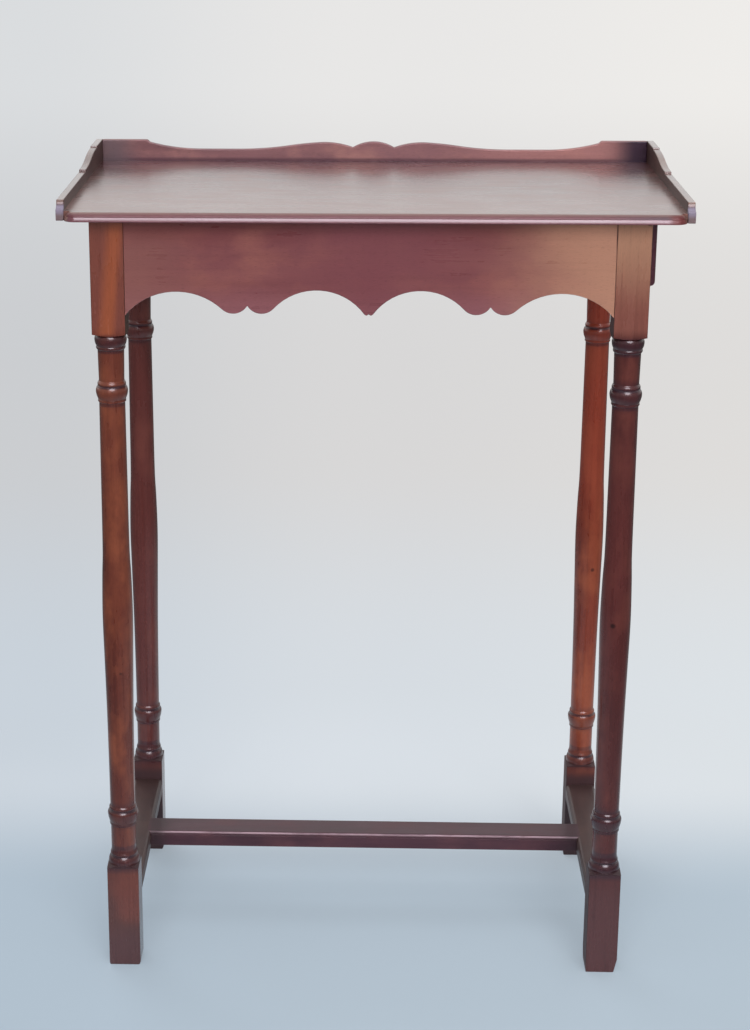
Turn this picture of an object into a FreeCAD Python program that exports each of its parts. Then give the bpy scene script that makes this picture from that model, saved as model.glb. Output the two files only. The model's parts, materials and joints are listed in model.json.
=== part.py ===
import FreeCAD, Part
import math
import os

from FreeCAD import Vector

# Tray top tea table with an end drawer: gun-barrel legs on square blocks, a scalloped
# front apron, a three-quarter gallery round a moulded board, and an H stretcher.
# Millimetres. +Z is up, +X is the drawer end, -Y is the scalloped front.
# The origin is on the floor, under the middle of the whole table's bounding box.

# ---------------------------------------------------------------- tray
tray_height = 711.0            # floor to the tray's surface
board_width = 517.0
board_thickness = 7.6
front_overhang = 24.0          # board in front of the legs
back_overhang = 0.5            # board behind the legs
board_corner_radius = 10.0
edge_bead_height = 3.7         # worn bead at the foot of the board's front edge
edge_bead_depth = 1.05         # it leans back this far
edge_bead_bulge = 0.12
edge_foot_depth = 0.5          # rounding under the bead
edge_foot_height = 0.8
edge_quirk_depth = 1.6
edge_quirk_height = 0.5
edge_ovolo_depth = 4.8         # from the front edge back to the surface's arris
edge_ovolo_bulge = 0.4

# ---------------------------------------------------------------- gallery
gallery_thickness = 6.4
gallery_setback = 7.0          # end galleries start this far behind the board's front
gallery_end_height = 19.3      # above the tray's surface, at the back corners
gallery_low_height = 9.0       # front part of each end gallery
gallery_arris = 0.9
nose_radius = 7.0
end_flat_length = 48.0         # top flat of an end gallery, from the back
end_step_height = 1.2          # down from that flat to the ogee
end_ogee_length = 87.0
end_foot_height = 10.7         # where the ogee ends over the low part
end_ogee_bulge = 1.0
crest_height = 18.0            # middle lobe of the back gallery
cusp_x = 19.5                  # cusps beside the middle lobe, from the table's middle
cusp_height = 12.5
side_lobe_x = 48.0
side_lobe_height = 17.25
side_lobe_inner_bulge = 1.35
side_lobe_outer_bulge = 0.4
crest_turn_x = 80.0            # where the side lobe's fall turns hollow
crest_turn_height = 14.1
crest_turn_bulge = 0.95
hollow_height = 10.6
hollow_start_x = 130.0
hollow_end_x = 165.0
sweep_end_height = 17.0        # where the sweep meets the end's little bevel
sweep_bulge = 1.55
end_bevel = 2.3
back_flat_length = 43.0

# ---------------------------------------------------------------- frame
frame_width = 472.0            # over the legs, left to right
frame_depth = 271.0            # over the legs, front to back
leg_square = 29.0
leg_arris = 0.9
foot_chamfer = 2.2
rail_thickness = 16.0
rail_depth = 70.0              # plain rails at the back and the left end
tenon_thickness = 6.0
tenon_length = 16.0
tenon_shoulder = 8.0           # rail edge to tenon edge
mortise_spare = 0.6            # room past a tenon's end

# ---------------------------------------------------------------- apron
apron_depth = 81.8             # down to the lobes
arch_outer_x = 163.0
arch_outer_radius = 57.0
arch_outer_peak = 63.1         # below the apron's top
arch_inner_x = 44.0
arch_inner_radius = 50.0
arch_inner_peak = 61.4
lobe_radius = 14.0
pendant_depth = 83.0
pendant_half_width = 3.6
pendant_notch = 1.4

# ---------------------------------------------------------------- turned legs
block_height = 101.0           # square foot block
top_block_height = 102.4
shoulder_drop = 4.0            # how far the lathe cuts the block's corners down
cap_quirk = 0.3                # small step where a cap meets its block
foot_neck_radius = 11.3
foot_cap_radius = 14.1         # ovolo on the foot block
foot_ovolo_height = 7.6
foot_ovolo_end_radius = 12.5
foot_groove = 0.5
foot_bead_height = 2.9
foot_bead_end_radius = 12.0
foot_cap_height = 16.2         # ovolo, bead and cove together
top_neck_radius = 11.5
top_neck_foot_radius = 11.05
top_cap_height = 13.6          # bead and torus together
top_bead_radius = 12.3         # where the bead meets the torus
top_bead_height = 3.2
top_cap_radius = 13.8          # torus under the top block
top_cap_drop = 6.2             # block down to the torus's widest place
top_cap_bulge = 0.3
top_quirk_radius = 12.4        # where the torus meets the block
top_quirk_bulge = 0.65
foot_ring_height = 150.3       # widest place of the lower ring
top_ring_drop = 51.2           # widest place of the upper ring, below the top block
ring_radius = 13.9
ring_shoulder_bulge = 0.45
ring_groove_radius = 12.5
ring_quirk = 0.4               # the groove's depth and its height
ring_bead_bulge = 0.55
ring_bead_step = 0.35          # the bead ends this far outside the stick above it
ring_fillet_radius = 12.2
ring_fillet_height = 1.6
ring_fillet_step = 0.3
ring_cup_bulge = 0.35
foot_ring_cup = 8.8            # widest place down to the thin fillet
foot_ring_groove = 3.9         # and up to the groove
foot_ring_bead = 8.0           # to the end of the bead
foot_ring_cove = 9.5           # to the end of the cove over the bead
top_ring_cup = 6.8
top_ring_groove = 5.2
top_ring_bead = 9.4
top_ring_cove = 10.8
shaft_top_radius = 11.3
shaft_foot_radius = 11.4
shaft_high_radius = 11.6
shaft_high_place = 0.19        # places are shares of the shaft's length from its top
swell_start_radius = 12.0
swell_start_place = 0.36
swell_rise_radius = 12.9
swell_rise_place = 0.42
swell_radius = 13.6
swell_place = 0.515
swell_fall_radius = 12.95
swell_fall_place = 0.625
swell_end_radius = 12.15
swell_end_place = 0.75
shaft_low_radius = 11.7
shaft_low_place = 0.87

# ---------------------------------------------------------------- stretchers
stretcher_thickness = 14.5
stretcher_top = 80.0
cross_width = 33.0
stretcher_round = 3.0
stretcher_quirk = 0.6
stretcher_tenon_thickness = 8.0
stretcher_tenon_margin = 4.5

# ---------------------------------------------------------------- drawer
lip_projection = 7.5           # drawer front past the legs' end faces
lip_overlap = 5.0              # lip over the legs
lip_rail_overlap = 5.4         # lip over the rail below
lip_gap = 0.3                  # lip to the legs' faces
lip_fillet_thickness = 3.0
lip_inset = 0.7
lip_round = 3.8
drawer_height = 56.0           # opening, from the rail's top to the board
drawer_rail_height = 20.0
drawer_front_thickness = 15.0  # inside the opening
drawer_length = 402.0          # behind the legs' end faces
drawer_side_clearance = 0.8
drawer_top_clearance = 1.4
drawer_run_gap = 0.3
drawer_side_thickness = 7.0
drawer_back_thickness = 7.0
drawer_side_drop = 2.0         # sides lower than the front
drawer_bottom_thickness = 5.0
drawer_bottom_lift = 6.0
groove_depth = 3.5
groove_spare = 0.5
tail_count = 3
tail_length = 9.0              # lapped tails into the drawer front
tail_flare = 1.2
runner_width = 22.0
runner_thickness = 7.0
guide_height = 20.0

# ---------------------------------------------------------------- fittings
knob_radius = 6.5
knob_projection = 11.5
knob_foot_radius = 6.0
knob_foot_thickness = 1.4
knob_foot_rim = 4.5            # radius where the foot ends and the neck's hollow starts
knob_neck_radius = 2.8
knob_neck_place = 4.8          # out from the drawer's face
knob_neck_bulge = 0.8
knob_rim_place = 8.3
knob_dome_bulge = 1.3
knob_top_radius = 0.5
knob_stem_radius = 1.8
knob_nut_radius = 4.5
knob_nut_thickness = 2.5
knob_stem_past = 4.0           # stem past the drawer front, for the nut
block_leg = 12.0               # glue block's two glued faces
glue_block_length = 40.0
glue_block_spacing = 140.0     # between the two on one long rail
screw_radius = 1.9
screw_head_radius = 3.8
screw_head_height = 2.6
screw_bite = 5.0               # into the board
screw_pocket_radius = 5.2
screw_pocket_depth = 20.0      # pocket floor below the rail's top
screw_inset = 6.5              # screw line from the rail's inner face
long_screw_spacing = 280.0
end_screw_spacing = 128.0
nail_radius = 0.8
nail_head_radius = 1.9
nail_head_height = 0.8
nail_length = 15.0
nail_count = 3

# ---------------------------------------------------------------- places worked out
board_underside = tray_height - board_thickness
board_depth = front_overhang + frame_depth + back_overhang
total_depth = board_depth + gallery_thickness
board_front_y = -total_depth / 2
board_back_y = board_front_y + board_depth
frame_x = -lip_projection / 2            # the top is centred over frame and drawer lip
left_x = frame_x - frame_width / 2
right_x = frame_x + frame_width / 2
front_y = board_front_y + front_overhang
back_y = front_y + frame_depth
inner_left_x = left_x + leg_square
inner_right_x = right_x - leg_square
inner_front_y = front_y + leg_square
inner_back_y = back_y - leg_square
middle_y = (front_y + back_y) / 2
half_board = board_width / 2
drawer_floor = board_underside - drawer_height
drawer_y0 = inner_front_y + drawer_side_clearance
drawer_y1 = inner_back_y - drawer_side_clearance
drawer_z0 = drawer_floor + drawer_run_gap
drawer_z1 = board_underside - drawer_top_clearance
drawer_side_top = drawer_z1 - drawer_side_drop
drawer_front_x = right_x - drawer_front_thickness
drawer_face_x = right_x + lip_projection
drawer_back_x = right_x - drawer_length
knob_z = (drawer_floor - lip_rail_overlap + drawer_z1) / 2
quarter_sagitta = 1 - math.sqrt(0.5)     # rise of a quarter circle over its chord, per radius


def box(x0, x1, y0, y1, z0, z1):
    return Part.makeBox(x1 - x0, y1 - y0, z1 - z0, Vector(x0, y0, z0))


def joined(pieces):
    whole = pieces[0]
    for piece in pieces[1:]:
        whole = whole.fuse(piece)
    return whole.removeSplitter()


class Outline:
    """A closed flat outline, drawn edge by edge in the plane that `place` maps to space."""

    def __init__(self, place, start):
        self.place = place
        self.here = start
        self.start = start
        self.edges = []

    def line(self, *points):
        for point in points:
            self.edges.append(Part.makeLine(self.place(*self.here), self.place(*point)))
            self.here = point
        return self

    def arc(self, end, sagitta):
        """Arc to `end`; a positive sagitta bulges to the left of the way there."""
        (x0, z0), (x1, z1) = self.here, end
        chord = math.hypot(x1 - x0, z1 - z0)
        middle = ((x0 + x1) / 2 - (z1 - z0) / chord * sagitta,
                  (z0 + z1) / 2 + (x1 - x0) / chord * sagitta)
        curve = Part.Arc(self.place(*self.here), self.place(*middle), self.place(*end))
        self.edges.append(curve.toShape())
        self.here = end
        return self

    def arc_about(self, centre, end, side):
        """Arc about `centre` to `end`, passing on the side of the chord that `side` names."""
        radius = math.hypot(end[0] - centre[0], end[1] - centre[1])
        half = math.hypot(end[0] - self.here[0], end[1] - self.here[1]) / 2
        return self.arc(end, side * (radius - math.sqrt(radius ** 2 - half ** 2)))

    def spline(self, *points):
        curve = Part.BSplineCurve()
        curve.interpolate([self.place(*point) for point in (self.here,) + points])
        self.edges.append(curve.toShape())
        self.here = points[-1]
        return self

    def face(self):
        if self.here != self.start:
            self.line(self.start)
        return Part.Face(Part.Wire(self.edges))


def in_xz(y):
    return lambda x, z: Vector(x, y, z)


def in_yz(x):
    return lambda y, z: Vector(x, y, z)


# ---------------------------------------------------------------- board and gallery
def board_edge(place):
    """Section of the moulded front edge; `place` takes (distance behind the front, height)."""
    quirk_top = edge_bead_height + edge_quirk_height
    section = Outline(place, (board_corner_radius, 0))
    section.line((edge_foot_depth, 0))
    section.arc((0, edge_foot_height), edge_foot_height * (1 - math.sqrt(0.5)) / 2)
    section.arc((edge_bead_depth, edge_bead_height), edge_bead_bulge)
    section.line((edge_quirk_depth, edge_bead_height), (edge_quirk_depth, quirk_top))
    section.arc((edge_ovolo_depth, board_thickness), edge_ovolo_bulge)
    section.line((board_corner_radius, board_thickness))
    return section.face()


def top_board():
    """A solid board whose front edge and front corners are moulded."""
    turn_y = board_front_y + board_corner_radius
    turn_x = half_board - board_corner_radius
    pieces = [box(-half_board, half_board, turn_y, board_back_y, board_underside, tray_height)]
    front = board_edge(lambda back, up: Vector(-turn_x, board_front_y + back, board_underside + up))
    pieces.append(front.extrude(Vector(2 * turn_x, 0, 0)))
    for side in (-1, 1):
        corner = board_edge(lambda back, up: Vector(side * turn_x, board_front_y + back,
                                                    board_underside + up))
        pieces.append(corner.revolve(Vector(side * turn_x, turn_y, 0), Vector(0, 0, 1), side * 90))
    board = joined(pieces)
    for x, y, inward in screw_places():
        board = board.cut(screw(x, y))
    return board


def end_gallery(side):
    """One board on edge, stepped down by an ogee from the back corner to a low rail."""
    back = board_back_y + gallery_thickness
    front = board_front_y + gallery_setback
    high = tray_height + gallery_end_height
    low = tray_height + gallery_low_height
    flat_end = back - end_flat_length
    ogee_top = high - end_step_height
    ogee_end = flat_end - end_ogee_length
    foot = tray_height + end_foot_height
    ogee_middle = ((flat_end + ogee_end) / 2, (ogee_top + foot) / 2)
    outline = Outline(in_yz(half_board), (back, board_underside))
    outline.line((back, high), (flat_end, high), (flat_end, ogee_top))
    outline.arc(ogee_middle, -end_ogee_bulge)
    outline.arc((ogee_end, foot), end_ogee_bulge)
    outline.line((ogee_end, low), (front + nose_radius, low))
    outline.arc((front, low - nose_radius), nose_radius * quarter_sagitta)
    outline.line((front, board_underside))
    gallery = outline.face().extrude(Vector(gallery_thickness, 0, 0))
    long_tops = [edge for edge in gallery.Edges
                 if min(abs(edge.BoundBox.ZMin - level) + abs(edge.BoundBox.ZMax - level)
                        for level in (low, high)) < 0.01 and edge.BoundBox.YLength > nose_radius]
    gallery = gallery.makeFillet(gallery_arris, long_tops)
    if side < 0:
        gallery = gallery.mirror(Vector(0, 0, 0), Vector(1, 0, 0))
    return gallery


def back_gallery():
    """A crest of three lobes between long hollows and square ends."""

    def right(x, height):
        return (x, tray_height + height)

    def left(x, height):
        return (-x, tray_height + height)

    flat_x = half_board - back_flat_length
    bevel_x = flat_x - end_bevel
    outline = Outline(in_xz(board_back_y), (half_board, board_underside))
    outline.line((-half_board, board_underside), left(half_board, gallery_end_height),
                 left(flat_x, gallery_end_height), left(bevel_x, sweep_end_height))
    outline.arc(left(hollow_end_x, hollow_height), -sweep_bulge)
    outline.line(left(hollow_start_x, hollow_height))
    outline.arc(left(crest_turn_x, crest_turn_height), -crest_turn_bulge)
    outline.arc(left(side_lobe_x, side_lobe_height), side_lobe_outer_bulge)
    outline.arc(left(cusp_x, cusp_height), side_lobe_inner_bulge)
    outline.arc(right(cusp_x, cusp_height), crest_height - cusp_height)
    outline.arc(right(side_lobe_x, side_lobe_height), side_lobe_inner_bulge)
    outline.arc(right(crest_turn_x, crest_turn_height), side_lobe_outer_bulge)
    outline.arc(right(hollow_start_x, hollow_height), -crest_turn_bulge)
    outline.line(right(hollow_end_x, hollow_height))
    outline.arc(right(bevel_x, sweep_end_height), -sweep_bulge)
    outline.line(right(flat_x, gallery_end_height), right(half_board, gallery_end_height))
    return outline.face().extrude(Vector(0, gallery_thickness, 0))


# ---------------------------------------------------------------- legs
def ring(outline, middle, above, cup, groove, bead, cove):
    """A thin fillet, a cup that swells to the ring, a groove, a bead and a cove, going up."""
    fillet_top = middle - cup
    outline.line((ring_fillet_radius, fillet_top - ring_fillet_height),
                 (ring_fillet_radius, fillet_top),
                 (ring_fillet_radius - ring_fillet_step, fillet_top + ring_fillet_step))
    outline.arc((ring_radius, middle), -ring_cup_bulge)
    outline.arc((ring_groove_radius, middle + groove), -ring_shoulder_bulge)
    outline.line((ring_groove_radius - ring_quirk, middle + groove + ring_quirk))
    outline.arc((above + ring_bead_step, middle + bead), -ring_bead_bulge)
    outline.arc((above, middle + cove), (cove - bead) / 8)


def foot_cap(outline):
    """Ovolo, groove, bead and cove on the foot block, going up."""
    groove_z = block_height + foot_ovolo_height
    bead_foot = groove_z + foot_groove
    outline.line((foot_cap_radius, block_height + cap_quirk))
    outline.arc((foot_ovolo_end_radius, groove_z), -foot_ovolo_height / 12)
    outline.line((foot_ovolo_end_radius - foot_groove, bead_foot))
    outline.arc((foot_bead_end_radius, bead_foot + foot_bead_height), -foot_bead_height / 7)
    outline.arc((foot_neck_radius, block_height + foot_cap_height), foot_bead_height / 12)


def top_cap(outline, block_foot):
    """A bead, then a torus that rounds in to a quirk under the top block, going up."""
    bead_foot = block_foot - top_cap_height
    bead_top = bead_foot + top_bead_height
    outline.line((top_neck_radius, bead_foot), (top_neck_radius + cap_quirk, bead_foot))
    outline.arc((top_bead_radius, bead_top), -top_bead_height / 5)
    outline.arc((top_cap_radius, block_foot - top_cap_drop), -top_cap_bulge)
    outline.arc((top_quirk_radius, block_foot - cap_quirk), -top_quirk_bulge)


def turned_leg(axis_x, axis_y):
    """A square stick turned between its two blocks, as the lathe leaves it."""
    half = leg_square / 2
    reach = leg_square
    top_block = board_underside - top_block_height
    top_ring = top_block - top_ring_drop
    shaft_foot = foot_ring_height + foot_ring_cove
    shaft_top = top_ring - top_ring_cup - ring_fillet_height - ring_fillet_radius + shaft_top_radius

    def station(share, radius):
        return (radius, shaft_top - share * (shaft_top - shaft_foot))

    outline = Outline(lambda r, z: Vector(axis_x + r, axis_y, z), (0, 0))
    outline.line((reach, 0), (reach, block_height - shoulder_drop), (half, block_height))
    foot_cap(outline)
    outline.line((foot_neck_radius, foot_ring_height - foot_ring_cup - ring_fillet_height
                  - ring_fillet_radius + foot_neck_radius))
    ring(outline, foot_ring_height, shaft_foot_radius, foot_ring_cup, foot_ring_groove,
         foot_ring_bead, foot_ring_cove)
    outline.spline(station(shaft_low_place, shaft_low_radius),
                   station(swell_end_place, swell_end_radius),
                   station(swell_fall_place, swell_fall_radius),
                   station(swell_place, swell_radius),
                   station(swell_rise_place, swell_rise_radius),
                   station(swell_start_place, swell_start_radius),
                   station(shaft_high_place, shaft_high_radius),
                   station(0, shaft_top_radius))
    ring(outline, top_ring, top_neck_foot_radius, top_ring_cup, top_ring_groove, top_ring_bead,
         top_ring_cove)
    top_cap(outline, top_block)
    outline.line((half, top_block), (reach, top_block + shoulder_drop), (reach, board_underside))
    outline.line((0, board_underside))
    turned = outline.face().revolve(Vector(axis_x, axis_y, 0), Vector(0, 0, 1), 360)

    stick = box(axis_x - half, axis_x + half, axis_y - half, axis_y + half, 0, board_underside)
    foot_edges = [edge for edge in stick.Edges if edge.BoundBox.ZMax < 0.01]
    stick = stick.makeChamfer(foot_chamfer, foot_edges)
    arrises = [edge for edge in stick.Edges if edge.BoundBox.ZLength > block_height]
    stick = stick.makeChamfer(leg_arris, arrises)
    return stick.common(turned)


def leg(side, end):
    """side: -1 left, 1 right; end: -1 front, 1 back."""
    half = leg_square / 2
    axis_x = left_x + half if side < 0 else right_x - half
    axis_y = front_y + half if end < 0 else back_y - half
    solid = turned_leg(axis_x, axis_y)
    for mortise in tenons(mortise_spare):
        solid = solid.cut(mortise)
    return solid


# ---------------------------------------------------------------- tenons
def rail_tenon_x(face_x, way, y0, z0, z1, spare):
    """Tenon that runs along X from a rail's shoulder at face_x; y0 is the rail's outer face."""
    margin = (rail_thickness - tenon_thickness) / 2
    tip = face_x + way * (tenon_length + spare)
    return box(min(face_x, tip), max(face_x, tip), y0 + margin, y0 + margin + tenon_thickness, z0, z1)


def rail_tenon_y(face_y, way, x0, z0, z1, spare):
    margin = (rail_thickness - tenon_thickness) / 2
    tip = face_y + way * (tenon_length + spare)
    return box(x0 + margin, x0 + margin + tenon_thickness, min(face_y, tip), max(face_y, tip), z0, z1)


def apron_tenons(spare=0.0):
    z0 = board_underside - rail_depth + tenon_shoulder
    z1 = board_underside - tenon_shoulder
    return [rail_tenon_x(inner_left_x, -1, front_y, z0, z1, spare),
            rail_tenon_x(inner_right_x, 1, front_y, z0, z1, spare)]


def back_rail_tenons(spare=0.0):
    z0 = board_underside - rail_depth + tenon_shoulder
    z1 = board_underside - tenon_shoulder
    return [rail_tenon_x(inner_left_x, -1, back_y - rail_thickness, z0, z1, spare),
            rail_tenon_x(inner_right_x, 1, back_y - rail_thickness, z0, z1, spare)]


def end_rail_tenons(spare=0.0):
    z0 = board_underside - rail_depth + tenon_shoulder
    z1 = board_underside - tenon_shoulder
    return [rail_tenon_y(inner_front_y, -1, left_x, z0, z1, spare),
            rail_tenon_y(inner_back_y, 1, left_x, z0, z1, spare)]


def drawer_rail_tenons(spare=0.0):
    z0 = drawer_floor - drawer_rail_height + stretcher_tenon_margin
    z1 = drawer_floor - stretcher_tenon_margin
    x0 = right_x - rail_thickness
    return [rail_tenon_y(inner_front_y, -1, x0, z0, z1, spare),
            rail_tenon_y(inner_back_y, 1, x0, z0, z1, spare)]


def stretcher_tenon_heights():
    middle = stretcher_top - stretcher_thickness / 2
    return middle - stretcher_tenon_thickness / 2, middle + stretcher_tenon_thickness / 2


def side_stretcher_tenons(spare=0.0):
    z0, z1 = stretcher_tenon_heights()
    found = []
    for x0 in (left_x, inner_right_x):
        span = (x0 + stretcher_tenon_margin, x0 + leg_square - stretcher_tenon_margin)
        found.append(box(*span, inner_front_y - tenon_length - spare, inner_front_y, z0, z1))
        found.append(box(*span, inner_back_y, inner_back_y + tenon_length + spare, z0, z1))
    return found


def cross_tenons(spare=0.0):
    z0, z1 = stretcher_tenon_heights()
    y0 = middle_y - cross_width / 2 + stretcher_tenon_margin
    y1 = middle_y + cross_width / 2 - stretcher_tenon_margin
    return [box(inner_left_x - tenon_length - spare, inner_left_x, y0, y1, z0, z1),
            box(inner_right_x, inner_right_x + tenon_length + spare, y0, y1, z0, z1)]


def tenons(spare):
    return (apron_tenons(spare) + back_rail_tenons(spare) + end_rail_tenons(spare)
            + drawer_rail_tenons(spare) + side_stretcher_tenons(spare))


# ---------------------------------------------------------------- rails
def apron_half():
    """The scalloped edge from pendant to leg: each arc's (x, drop) end, centre and side."""
    lobe_z = apron_depth - lobe_radius
    outer_z = arch_outer_peak + arch_outer_radius
    inner_z = arch_inner_peak + arch_inner_radius
    outer_reach = arch_outer_radius + lobe_radius
    inner_reach = arch_inner_radius + lobe_radius
    outer_lobe_x = arch_outer_x - math.sqrt(outer_reach ** 2 - (outer_z - lobe_z) ** 2)
    inner_lobe_x = arch_inner_x + math.sqrt(inner_reach ** 2 - (inner_z - lobe_z) ** 2)
    half_gap = (outer_lobe_x - inner_lobe_x) / 2
    cusp = ((outer_lobe_x + inner_lobe_x) / 2, lobe_z + math.sqrt(lobe_radius ** 2 - half_gap ** 2))

    def between(a, b, reach):
        return (a[0] + (b[0] - a[0]) * reach, a[1] + (b[1] - a[1]) * reach)

    inner_turn = between((arch_inner_x, inner_z), (inner_lobe_x, lobe_z), arch_inner_radius / inner_reach)
    outer_turn = between((arch_outer_x, outer_z), (outer_lobe_x, lobe_z), arch_outer_radius / outer_reach)
    leg_x = frame_width / 2 - leg_square
    leg_drop = outer_z - math.sqrt(arch_outer_radius ** 2 - (leg_x - arch_outer_x) ** 2)
    flank_x = pendant_half_width
    flank_drop = inner_z - math.sqrt(arch_inner_radius ** 2 - (arch_inner_x - flank_x) ** 2)
    arcs = [((flank_x, flank_drop), None, 0),
            (inner_turn, (arch_inner_x, inner_z), 1),
            (cusp, (inner_lobe_x, lobe_z), -1),
            (outer_turn, (outer_lobe_x, lobe_z), -1),
            ((leg_x, leg_drop), (arch_outer_x, outer_z), 1)]
    return arcs


def front_apron():
    top = board_underside
    arcs = apron_half()
    leg_x, leg_drop = arcs[-1][0]
    outline = Outline(in_xz(front_y), (frame_x + leg_x, top))
    outline.line((frame_x - leg_x, top), (frame_x - leg_x, top - leg_drop))
    for index in range(len(arcs) - 1, 0, -1):
        point = arcs[index - 1][0]
        centre, side = arcs[index][1], arcs[index][2]
        outline.arc_about((frame_x - centre[0], top - centre[1]), (frame_x - point[0], top - point[1]),
                          side)
    outline.line((frame_x - pendant_half_width / 2, top - pendant_depth),
                 (frame_x, top - pendant_depth + pendant_notch),
                 (frame_x + pendant_half_width / 2, top - pendant_depth))
    outline.line((frame_x + arcs[0][0][0], top - arcs[0][0][1]))
    for index in range(1, len(arcs)):
        point, centre, side = arcs[index]
        outline.arc_about((frame_x + centre[0], top - centre[1]), (frame_x + point[0], top - point[1]),
                          side)
    apron = outline.face().extrude(Vector(0, rail_thickness, 0))
    return pocketed(joined([apron] + apron_tenons()))


def back_rail():
    rail = box(inner_left_x, inner_right_x, back_y - rail_thickness, back_y,
               board_underside - rail_depth, board_underside)
    return pocketed(joined([rail] + back_rail_tenons()))


def left_end_rail():
    rail = box(left_x, left_x + rail_thickness, inner_front_y, inner_back_y,
               board_underside - rail_depth, board_underside)
    return pocketed(joined([rail] + end_rail_tenons()))


def drawer_rail():
    rail = box(right_x - rail_thickness, right_x, inner_front_y, inner_back_y,
               drawer_floor - drawer_rail_height, drawer_floor)
    return joined([rail] + drawer_rail_tenons())


def facing(end, near, far):
    """Y range measured inwards from the outer face of the front (-1) or back (1) rail."""
    if end < 0:
        return front_y + near, front_y + far
    return back_y - far, back_y - near


def drawer_runner(end):
    """Carries one drawer side, fills the corner between the leg blocks and reaches both end rails."""
    z0, z1 = drawer_floor - runner_thickness, drawer_floor
    wide = facing(end, rail_thickness, rail_thickness + runner_width)
    narrow = facing(end, leg_square, rail_thickness + runner_width)
    return joined([box(inner_left_x, inner_right_x, *wide, z0, z1),
                   box(left_x + rail_thickness, right_x - rail_thickness, *narrow, z0, z1)])


def drawer_guide(end):
    return box(inner_left_x, inner_right_x, *facing(end, rail_thickness, leg_square),
               drawer_floor, drawer_floor + guide_height)


def glue_blocks():
    """Rubbed blocks under the board: two along each long rail, one at the left end."""
    long_places = [frame_x + side * glue_block_spacing / 2 for side in (-1, 1)]
    blocks = []
    for x in long_places:
        for end in (-1, 1):
            y = front_y + rail_thickness if end < 0 else back_y - rail_thickness
            face = Outline(in_yz(x - glue_block_length / 2), (y, board_underside))
            face.line((y, board_underside - block_leg), (y - end * block_leg, board_underside))
            blocks.append(face.face().extrude(Vector(glue_block_length, 0, 0)))
    x = left_x + rail_thickness
    face = Outline(in_xz(middle_y - glue_block_length / 2), (x, board_underside))
    face.line((x, board_underside - block_leg), (x + block_leg, board_underside))
    blocks.append(face.face().extrude(Vector(0, glue_block_length, 0)))
    return Part.Compound(blocks)


# ---------------------------------------------------------------- screws that hold the board
def screw_places():
    """(x, y, inward direction) of each screw through a rail's pocket into the board."""
    inset = rail_thickness - screw_inset
    places = []
    for side in (-1, 1):
        x = frame_x + side * long_screw_spacing / 2
        places.append((x, front_y + inset, Vector(0, 1, 0)))
        places.append((x, back_y - inset, Vector(0, -1, 0)))
        places.append((left_x + inset, middle_y + side * end_screw_spacing / 2, Vector(1, 0, 0)))
    return places


def screw(x, y):
    foot = Vector(x, y, board_underside - screw_pocket_depth)
    shank = Part.makeCylinder(screw_radius, screw_pocket_depth + screw_bite, foot)
    head = Part.makeCone(screw_head_radius, screw_radius, screw_head_height, foot)
    return shank.fuse(head).removeSplitter()


def screw_pocket(x, y, inward):
    """The gouged pocket below the screw's head, open to the rail's inner face."""
    height = screw_pocket_radius * 2
    foot = Vector(x, y, board_underside - screw_pocket_depth - height)
    scoop = Part.makeCylinder(screw_pocket_radius, height, foot)
    side = Vector(0, 0, 1).cross(inward) * screw_pocket_radius
    way_out = inward * rail_thickness
    corners = [foot - side, foot + side, foot + side + way_out, foot - side + way_out, foot - side]
    return scoop.fuse(Part.Face(Part.makePolygon(corners)).extrude(Vector(0, 0, height)))


def pocketed(rail):
    for x, y, inward in screw_places():
        rail = rail.cut(screw(x, y))
        rail = rail.cut(screw_pocket(x, y, inward))
    return rail


def top_screws():
    return Part.Compound([screw(x, y) for x, y, inward in screw_places()])


# ---------------------------------------------------------------- stretchers
def moulded_bar(length, width):
    """A flat bar along X with a quirked round on both top arrises, from x = 0, centred on y = 0."""
    half = width / 2
    top = stretcher_top
    foot = stretcher_top - stretcher_thickness
    spring = top - stretcher_round
    edge = half - stretcher_quirk
    round_sagitta = stretcher_round * quarter_sagitta
    outline = Outline(in_yz(0), (-half, foot))
    outline.line((-half, spring - stretcher_quirk), (-edge, spring - stretcher_quirk), (-edge, spring))
    outline.arc((-edge + stretcher_round, top), round_sagitta)
    outline.line((edge - stretcher_round, top))
    outline.arc((edge, spring), round_sagitta)
    outline.line((edge, spring - stretcher_quirk), (half, spring - stretcher_quirk), (half, foot))
    return outline.face().extrude(Vector(length, 0, 0))


def side_stretcher(side):
    bar = moulded_bar(inner_back_y - inner_front_y, leg_square)
    bar.rotate(Vector(0, 0, 0), Vector(0, 0, 1), 90)
    axis_x = left_x + leg_square / 2 if side < 0 else right_x - leg_square / 2
    bar.translate(Vector(axis_x, inner_front_y, 0))
    mine = [tenon for tenon in side_stretcher_tenons() if (tenon.BoundBox.Center.x - frame_x) * side > 0]
    whole = joined([bar] + mine)
    for mortise in cross_tenons(mortise_spare):
        whole = whole.cut(mortise)
    return whole


def cross_stretcher(side_stretchers):
    """Shoulders coped over the rounds of the side stretchers, and a tenon into each."""
    cope = stretcher_round + stretcher_quirk
    bar = moulded_bar(inner_right_x - inner_left_x + 2 * cope, cross_width)
    bar.translate(Vector(inner_left_x - cope, middle_y, 0))
    for piece in side_stretchers + cross_tenons(mortise_spare):
        bar = bar.cut(piece)
    return joined([bar] + cross_tenons())


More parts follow.
